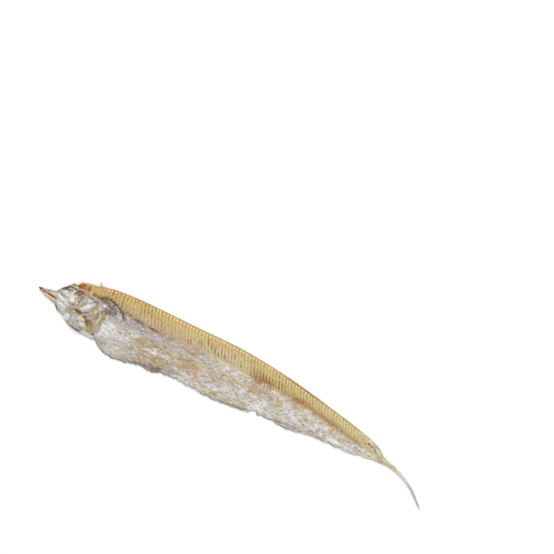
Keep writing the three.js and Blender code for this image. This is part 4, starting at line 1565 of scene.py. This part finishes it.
# %% Jaw and ridge bars
HEAD_BARS = (
    # name, finish, how much of its girth stands proud, seed, routes
    ("upper_jaw", SKIN, 0.45, 81, (
        ((2, 0.5, 0.5), (8, 1.5, 0.8), (14, 2.7, 0.9), (19, 4.2, 0.5)),
        ((5, 0.6, 0.3), (14, 0.8, 0.5), (24, 0.3, 0.5), (31, -0.7, 0.3)),
    )),
    ("lower_jaw", SKIN, 0.6, 82, (
        ((5.2, -2, 0.5), (10, -2.4, 0.8), (16, -2.9, 0.8), (22, -3.3, 0.5)),
    )),
    ("shoulder_ridges", SKIN, 0.35, 83, (
        ((57.8, 9, 0.4), (58.6, 4, 0.8), (58.3, -1, 0.7), (58.8, -4, 0.3)),
        ((60.6, 10, 0.4), (61.5, 4, 1.0), (61, -2, 0.8), (61.6, -7, 0.4)),
        ((64, 7, 0.4), (64.6, 2, 1.0), (64.2, -4, 1.0), (65.2, -10, 0.5)),
        ((53.8, 14, 0.4), (55.4, 9, 0.8), (55, 5, 0.4)),
        ((33.4, 13, 0.4), (35.6, 9, 0.8), (35.2, 4, 0.6), (33.2, 0.6, 0.4)),
        ((37, 12.6, 0.4), (38.6, 9, 0.7), (37.6, 5, 0.4)),
        ((39.6, 4.6, 0.3), (42, 6.9, 0.6), (45, 9.4, 0.5), (47.2, 11.6, 0.3)),
    )),
    ("gill_fold", DARK_FOLD, 0.5, 84, (
        ((51.6, 18.4, 0.5), (56, 22, 1.0), (60, 23.2, 1.2), (65.5, 22.7, 1.1), (71, 21.2, 0.9),
         (76.4, 18.4, 0.8), (79, 16, 0.8), (81.6, 13, 0.4)),
    )),
    ("brow_ridge", SHADED_BROW_BONE, 0.4, 89, (
        ((15, 5.4, 0.25), (17, 8, 0.5), (19.4, 10.8, 1.1), (21.7, 12.7, 1.5), (23.6, 14.6, 0.6)),
        ((24, 18.2, 0.3), (25.6, 18.7, 0.6), (27.2, 18.6, 0.3)),
        ((34.2, 16, 0.3), (32.6, 14.2, 0.7), (30.8, 12, 0.2)),
    )),
)
for name, finish, proud, seed, routes in HEAD_BARS:
    bars(name, routes, finish, proud, seed)

# %% [markdown]
# The tip of the snout is bare dark horn. It is a short bar that tapers to a point and sits over the end of
# the skin.

# %% Snout tip
BLACK_HORN = bone_finish("black horn", paint(96, 92, 88), paint(58, 56, 54), paint(34, 32, 30), 1.6, 0.4)
TIP_ROUTE = ((-1.0, 0.05, 0.5), (0.2, 0.1, 1.1), (1.4, 0.15, 1.15), (2.6, 0.3, 0.5))
bars("snout_tip", (TIP_ROUTE,), BLACK_HORN, 0.45, 85)

# %% [markdown]
# ## Teeth, fin rays and fringe
# The teeth, the broken rays of the dried fin and the frayed belly edge are all small spikes along a line. A
# tree sets one cone on every point of the line, turned to the direction and stretched to the size that the
# point keeps.

# %% Spike tree
SPIKE_SIZES = {"Spike sides": 6}
BLUNT_TIP = 0.12


def spike_tree(finish):
    """The tree that grows spikes of one finish."""
    tree, given = new_tree("spikes of " + finish.name, SPIKE_SIZES)
    cone = add(tree, "GeometryNodeMeshCone", {
        "Vertices": given.outputs["Spike sides"],
        "Radius Top": BLUNT_TIP, "Radius Bottom": 1.0, "Depth": 1.0,
    })
    aim = named(tree, "aim", "FLOAT_VECTOR")
    turn = add(tree, "FunctionNodeAlignRotationToVector", {"Vector": aim}, axis="Z")
    stretch = add(tree, "ShaderNodeCombineXYZ", {
        "X": named(tree, "girth"), "Y": named(tree, "girth"), "Z": named(tree, "long"),
    })
    spikes = add(tree, "GeometryNodeInstanceOnPoints", {
        "Points": given.outputs["Geometry"], "Instance": cone.outputs["Mesh"],
        "Rotation": turn.outputs["Rotation"], "Scale": stretch.outputs["Vector"],
    })
    close_tree(tree, spikes.outputs[0], finish)
    return tree


def spikes(name, roots, aims, girths, lengths, finish):
    """Small cones at points of the fish."""
    piece = new_piece(name, in_frame(roots).tolist(), [], [])
    store(piece.data, "girth", np.asarray(girths) * MM)
    store(piece.data, "long", np.asarray(lengths) * MM)
    aim = piece.data.attributes.new("aim", "FLOAT_VECTOR", "POINT")
    aim.data.foreach_set("vector", np.asarray(aims, np.float32).ravel())
    return keep(grow(piece, spike_tree(finish), SPIKE_SIZES))


print("a spike has", SPIKE_SIZES["Spike sides"], "sides")

# %% [markdown]
# The teeth are pale. They stand down from the upper jaw and up from the lower one, and three longer fangs
# hang under the front of the lower jaw.

# %% Teeth
TOOTH = bone_finish("tooth", paint(218, 206, 186), paint(194, 178, 152), paint(158, 138, 110), 1.4, 0.3)
TOOTH_ROWS = (
    # count, first and last length, first and last height towards the back, aim, least and most size
    (12, (5, 19), (-0.3, -0.6), (-0.15, -1, 0.5), (0.5, 0.9)),
    (10, (6.5, 18), (-1.4, -1.8), (-0.1, 1, 0.6), (0.4, 0.8)),
)
FANGS = (
    # place, aim, size
    ((7.6, -3.0), (-0.7, -1, 0.1), 2.6),
    ((9.6, -3.1), (-0.2, -1, 0), 1.6),
    ((11.2, -3.2), (0.3, -1, 0), 1.2),
)
TOOTH_GIRTH = 0.22
TOOTH_PROUD = 0.1
tooth_draw = np.random.default_rng(86)
tooth_places = []
tooth_aims = []
tooth_long = []
for count, reach, across, aim, sizes in TOOTH_ROWS:
    tooth_places.extend(zip(np.linspace(*reach, count), np.linspace(*across, count)))
    tooth_aims.extend([aim] * count)
    tooth_long.extend(tooth_draw.uniform(*sizes, count))
for place, aim, size in FANGS:
    tooth_places.append(place)
    tooth_aims.append(aim)
    tooth_long.append(size)
tooth_places = np.array(tooth_places)
tooth_roots = np.column_stack([tooth_places, skin_height(*tooth_places.T) + TOOTH_PROUD])
spikes("teeth", tooth_roots, tooth_aims, TOOTH_GIRTH * np.sqrt(tooth_long), tooth_long, TOOTH)

# %% [markdown]
# The fin rays lie back along the back edge towards the tail, two to a rib. They are longer and thicker
# around the middle of the back, where more of the fin is left.

# %% Fin rays
FIN_RIM = bone_finish("fin rim", paint(186, 160, 112), paint(150, 118, 78), paint(112, 82, 50), 3.0, 0.5, 2.0)
RAY_REACH = (60, 352)
RAY_SUNK = 0.3
RAY_LIFT = 0.55
RAY_GIRTH = 0.3


def back_middle(length):
    """The height midway between both faces at the back edge."""
    return (np.interp(length, along, top_face[:, 0]) + np.interp(length, along, under_face[:, 0])) / 2


ray_draw = np.random.default_rng(87)
ray_along = np.arange(*RAY_REACH, RIB_PITCH / 2)
ray_count = len(ray_along)
ray_along = ray_along + ray_draw.normal(0, 0.15, ray_count)
fin_left = 0.3 + 0.6 * between(ray_along, (222, 244), (270, 300))
ray_long = fin_left * ray_draw.uniform(0.9, 1.7, ray_count)
ray_height = back_middle(ray_along) + ray_draw.uniform(-0.4, 0.8, ray_count)
ray_roots = np.column_stack([ray_along, np.interp(ray_along, along, back) - RAY_SUNK, ray_height])
ray_aims = np.column_stack([
    ray_draw.uniform(0.9, 1.3, ray_count),
    np.full(ray_count, RAY_LIFT),
    ray_draw.uniform(-0.1, 0.3, ray_count),
])
spikes("fin_rays", ray_roots, ray_aims, RAY_GIRTH * fin_left, ray_long, FIN_RIM)

# %% [markdown]
# There the foot of the fin has dried to a dark rim along the back edge, thickest in its middle and uneven.
# It is one bar.

# %% Fin rim
RIM_REACH = (226, 292)
RIM_SPACING = 0.8
RIM_OUT = 0.05
RIM_UP = 0.5
rim_draw = np.random.default_rng(88)
rim_along = np.arange(*RIM_REACH, RIM_SPACING)
rim_girth = 0.15 + 0.4 * between(rim_along, (226, 244), (266, 292))
rim_girth = rim_girth * rim_draw.uniform(0.75, 1.25, len(rim_along))
rim_across = np.interp(rim_along, along, back) + RIM_OUT
rim_line = np.column_stack([rim_along, rim_across, back_middle(rim_along) + RIM_UP])
fin_rim = wire("fin_rim", [rim_line], {"girth": [rim_girth * MM]})
keep(grow(fin_rim, bar_tree(FIN_RIM), BAR_SIZES))

# %% [markdown]
# The first spine of the fin is a grey-green stub that stands up from the nape. It is one tapered bar, thick
# at its root.

# %% Fin spine
SPINE_TONES = (paint(176, 176, 146), paint(136, 134, 108), paint(104, 98, 74))
SPINE_BONE = bone_finish("spine bone", *SPINE_TONES, 1.8, 0.5)
SPINE_ROOT = (47.2, 27.6)
SPINE_LINE = ((47.8, 27.2), (47.2, 30), (46.6, 31.8), (45.8, 33.3))
SPINE_STEP = 0.6
SPINE_SUNK = 0.7
SPINE_GIRTHS = (1.0, 0.35)
spine_points = smooth_line(SPINE_LINE, SPINE_STEP)
spine_count = len(spine_points)
spine_height = float(skin_height(*SPINE_ROOT)) - SPINE_SUNK
spine_line = np.column_stack([spine_points, np.full(spine_count, spine_height)])
spine_girth = np.linspace(*SPINE_GIRTHS, spine_count)
fin_spine = wire("fin_spine", [spine_line], {"girth": [spine_girth * MM]})
keep(grow(fin_spine, bar_tree(SPINE_BONE), BAR_SIZES))

# %% [markdown]
# ## Flakes of skin
# The silver layer of the flank cracks as it dries and lifts in flakes a few millimetres long. They grow on
# a sheet cut from the flank's own grid, which keeps how flaky the skin is: most where it is white or lilac,
# and not at all along the seam and the dark belly.

# %% Flank patch
PATCH_REACH = (1.03, 1.985)
FLAKY_START = (1.05, 1.18)
FLAKY_RISE = (70, 88)
FLAKY_FALL = (330, 348)
FLAKY_MOSTLY = 0.4
FLAKY_LAYERS = {"white": 0.5, "lilac": 0.3, "tan": -0.2, "plum": -1.0}
patch_rows = np.arange(0, STATIONS, 2)
patch_columns = np.where((top_places > PATCH_REACH[0]) & (top_places < PATCH_REACH[1]))[0]
patch_grid = np.ix_(patch_rows, patch_columns)
patch_along = top_along[patch_grid]
patch_across = top_across[patch_grid]
patch_points = np.stack([patch_along, patch_across, top_face[patch_grid]], axis=2).reshape(-1, 3)
patch_layers = colour_layers(patch_along, patch_across)
flaky = sum((more * patch_layers[label] for label, more in FLAKY_LAYERS.items()), FLAKY_MOSTLY)
flaky = flaky * ramp(top_places[patch_columns], *FLAKY_START) * between(patch_along, FLAKY_RISE, FLAKY_FALL)
flaky = flaky * (0.5 + 0.8 * hills(patch_along / 9, patch_across / 5, 91))
patch_numbers = np.arange(patch_along.size).reshape(patch_along.shape)
patch_faces = np.stack([
    patch_numbers[:-1, :-1], patch_numbers[:-1, 1:], patch_numbers[1:, 1:], patch_numbers[1:, :-1],
], axis=2).reshape(-1, 4)


def flank_patch(name):
    """A sheet of bare flank that knows how flaky it is and which patches it crosses."""
    piece = new_piece(name, in_frame(patch_points).tolist(), [], patch_faces.tolist())
    store(piece.data, "flaky", np.clip(flaky, 0, 1))
    for label, *_ in FLANK_LAYERS:
        store(piece.data, label, patch_layers[label])
    return piece


print("the flank patch has", len(patch_faces), "faces")

# %% [markdown]
# Flakes wear the colours of the flank that they lie on, and each is paler or darker by a tone of its own.

# %% Flake finish
def flake_finish():
    """The finish of the flakes and shreds."""
    material, tree, shader = new_finish("skin flakes", 0.5)
    streaks = grain(tree, (3.8, 2.1, 3), 5.0, 0.62)
    fine = grain(tree, (1.5, 1.0, 1.0), 3.0, 0.6)
    colour = flank_colour(tree, streaks)
    colour = washed(tree, colour, kept(tree, "tone"), 0.3, 1.0, 0.45, paint(222, 218, 210))
    colour = washed(tree, colour, kept(tree, "tone"), 0.3, 0.0, 0.4, paint(140, 128, 110))
    colour = uneven(tree, colour, fine, 1.12, 0.85)
    dress(tree, shader, colour, share(tree, fine, 0.3, 0.7, 0.35, 0.55))
    return material


FLAKE_SKIN = flake_finish()
print("flake finish:", len(FLAKE_SKIN.node_tree.nodes), "nodes")

# %% [markdown]
# Distribute Points on Faces scatters points over the patch, closest where it is flaky. Each point gets a
# thin seven-sided chip that lies on the skin roughly along the fish. Random numbers swing it, tilt it so
# that one edge lifts, and vary its size. The same tree makes broad flakes and, with other sizes, narrow
# shreds.

# %% Flake tree
FLAKE_SIZES = {
    "Flakes a square metre": 110000.0, "Long": 1.6 * MM, "Wide": 0.95 * MM, "Thick": 0.18 * MM,
    "Tilt": 0.16, "Seed": 92,
}
SHRED_SIZES = {
    "Flakes a square metre": 60000.0, "Long": 2.5 * MM, "Wide": 0.42 * MM, "Thick": 0.24 * MM,
    "Tilt": 0.07, "Seed": 93,
}
CHIP_SIDES = 7
CHIP_SWING = 1.1


def random_between(tree, low, high, seed):
    """A random number for every flake."""
    return add(tree, "FunctionNodeRandomValue", {2: low, 3: high, 8: seed}, data_type="FLOAT").outputs[1]


def times(tree, value, factor):
    """One number times another."""
    return add(tree, "ShaderNodeMath", {0: value, 1: factor}, operation="MULTIPLY").outputs[0]


def flake_turn(tree, normal, tilt):
    """Turns a chip flat on the skin and along the fish, then swings and tilts it at random."""
    upright = add(tree, "FunctionNodeAlignRotationToVector", {"Vector": normal}, axis="Z")
    lengthwise = add(tree, "FunctionNodeAlignRotationToVector", {
        "Rotation": upright.outputs["Rotation"], "Vector": (1.0, 0.0, 0.0),
    }, axis="X", pivot_axis="Z")
    less = times(tree, tilt, -1.0)
    angles = add(tree, "ShaderNodeCombineXYZ", {
        "X": random_between(tree, less, tilt, 1),
        "Y": random_between(tree, less, tilt, 2),
        "Z": random_between(tree, -CHIP_SWING, CHIP_SWING, 3),
    })
    swing = add(tree, "FunctionNodeEulerToRotation", {"Euler": angles.outputs["Vector"]})
    swung = add(tree, "FunctionNodeRotateRotation", {
        "Rotation": lengthwise.outputs["Rotation"], "Rotate By": swing.outputs["Rotation"],
    }, rotation_space="LOCAL")
    return swung.outputs["Rotation"]


def flake_tree(finish):
    """The tree that grows flakes on a patch."""
    tree, given = new_tree("flakes", FLAKE_SIZES)
    spread = add(tree, "GeometryNodeDistributePointsOnFaces", {
        "Mesh": given.outputs["Geometry"], "Seed": given.outputs["Seed"],
        "Density": times(tree, named(tree, "flaky"), given.outputs["Flakes a square metre"]),
    })
    stretch = add(tree, "ShaderNodeCombineXYZ", {
        "X": times(tree, given.outputs["Long"], random_between(tree, 0.5, 1.5, 4)),
        "Y": times(tree, given.outputs["Wide"], random_between(tree, 0.5, 1.5, 5)),
        "Z": times(tree, given.outputs["Thick"], random_between(tree, 0.5, 1.5, 6)),
    })
    chip = add(tree, "GeometryNodeMeshCylinder", {"Vertices": CHIP_SIDES, "Radius": 1.0, "Depth": 2.0})
    placed = add(tree, "GeometryNodeInstanceOnPoints", {
        "Points": spread.outputs["Points"], "Instance": chip.outputs["Mesh"],
        "Rotation": flake_turn(tree, spread.outputs["Normal"], given.outputs["Tilt"]),
        "Scale": stretch.outputs["Vector"],
    })
    toned = add(tree, "GeometryNodeStoreNamedAttribute", {
        "Geometry": placed.outputs[0], "Name": "tone", "Value": random_between(tree, 0.0, 1.0, 7),
    }, domain="INSTANCE")
    close_tree(tree, toned.outputs[0], finish)
    return tree


flakes_tree = flake_tree(FLAKE_SKIN)
keep(grow(flank_patch("skin_flakes"), flakes_tree, FLAKE_SIZES))
keep(grow(flank_patch("skin_shreds"), flakes_tree, SHRED_SIZES))

# %% [markdown]
# The belly edge frays: short grey shreds stand out of it. They are spikes like the fin's rays, sparse and
# uneven, and they stay close to the edge.

# %% Belly fringe
FRINGE_SKIN = bone_finish("fringe", paint(206, 202, 194), paint(150, 144, 134), paint(110, 104, 98), 2.0, 0.5)
FRINGE_COUNT = 420
FRINGE_REACH = (66, 345)
FRINGE_SUNK = 0.35
FRINGE_LEAST = 0.8
FRINGE_GIRTH = 0.28
fringe_draw = np.random.default_rng(94)
fringe_along = np.sort(fringe_draw.uniform(*FRINGE_REACH, FRINGE_COUNT))
fringe_across = np.interp(fringe_along, along, belly)
fringe_height = skin_height(fringe_along, fringe_across + 0.1) - fringe_draw.uniform(0.1, 0.8, FRINGE_COUNT)
fringe_height = np.maximum(fringe_height, FRINGE_LEAST)
fringe_roots = np.column_stack([fringe_along, fringe_across + FRINGE_SUNK, fringe_height])
fringe_aims = np.column_stack([
    fringe_draw.uniform(-1.4, 1.4, FRINGE_COUNT),
    -fringe_draw.uniform(0.3, 1, FRINGE_COUNT),
    fringe_draw.uniform(-0.3, 0.3, FRINGE_COUNT),
])
fringe_long = fringe_draw.uniform(0.5, 1.5, FRINGE_COUNT)
fringe_girth = np.full(FRINGE_COUNT, FRINGE_GIRTH)
spikes("belly_fringe", fringe_roots, fringe_aims, fringe_girth, fringe_long, FRINGE_SKIN)

# %% [markdown]
# ## Floor and light
# The fish lies on plain near-white board under soft light. A broad lamp stands over the head end, a weaker
# one opposite fills the shadows, and an even grey sky lifts what neither reaches.

# %% Floor and lamps
FLOOR_HALF = 3.0
FLOOR_CORNERS = ((-1, -1), (1, -1), (1, 1), (-1, 1))
SKY_STRENGTH = 0.4
LAMPS = (
    # name, place, size, power
    ("key", (-0.55, 0.75, 1.25), 0.9, 18.5),
    ("fill", (0.9, -0.4, 1.3), 1.4, 10),
)


def floor_finish():
    """The finish of the board under the fish."""
    material, tree, shader = new_finish("white board", 0.2)
    mottled = grain(tree, (40, 40, 40), 2.0, 0.5)
    tone = over(tree, share(tree, mottled, 0.3, 0.7), paint(246, 246, 245), paint(250, 250, 249))
    tree.links.new(tone, shader.inputs["Base Color"])
    shader.inputs["Roughness"].default_value = 0.8
    return material


floor_points = [(FLOOR_HALF * x, FLOOR_HALF * y, 0) for x, y in FLOOR_CORNERS]
floor = new_piece("floor", floor_points, [], [(0, 1, 2, 3)])
floor.data.materials.append(floor_finish())
for name, place, size, power in LAMPS:
    lamp = bpy.data.lights.new(name, "AREA")
    lamp.size = size
    lamp.energy = power
    stand = bpy.data.objects.new(name, lamp)
    stand.location = place
    stand.rotation_euler = Vector(place).to_track_quat("Z", "Y").to_euler()
    bpy.context.scene.collection.objects.link(stand)
sky = bpy.data.worlds.new("sky")
sky.use_nodes = True
sky.node_tree.nodes["Background"].inputs["Color"].default_value = (1, 1, 1, 1)
sky.node_tree.nodes["Background"].inputs["Strength"].default_value = SKY_STRENGTH
bpy.context.scene.world = sky
bpy.context.scene.view_settings.view_transform = "Standard"
print(len(LAMPS), "lamps and a sky of", SKY_STRENGTH)

# %% [markdown]
# ## Camera
# The picture is taken from straight above with a long lens, and the fish lies across it with its head at
# the left and its tail low on the right.

# %% Camera
PICTURE_SIDE = 506 * MM
PICTURE_MIDDLE = (181.5, 117.3)
PICTURE_TURN = math.radians(30.248)
camera_data = bpy.data.cameras.new("camera")
camera_data.lens = 100
camera_data.sensor_width = 36
camera = bpy.data.objects.new("camera", camera_data)
camera_middle = in_frame([[*PICTURE_MIDDLE, 0]])[0]
camera_height = PICTURE_SIDE * camera_data.lens / camera_data.sensor_width
camera.location = (camera_middle[0], camera_middle[1], camera_height)
camera.rotation_euler = (0, 0, PICTURE_TURN)
bpy.context.scene.collection.objects.link(camera)
bpy.context.scene.camera = camera
print("the camera stands", round(camera_height, 2), "m up")
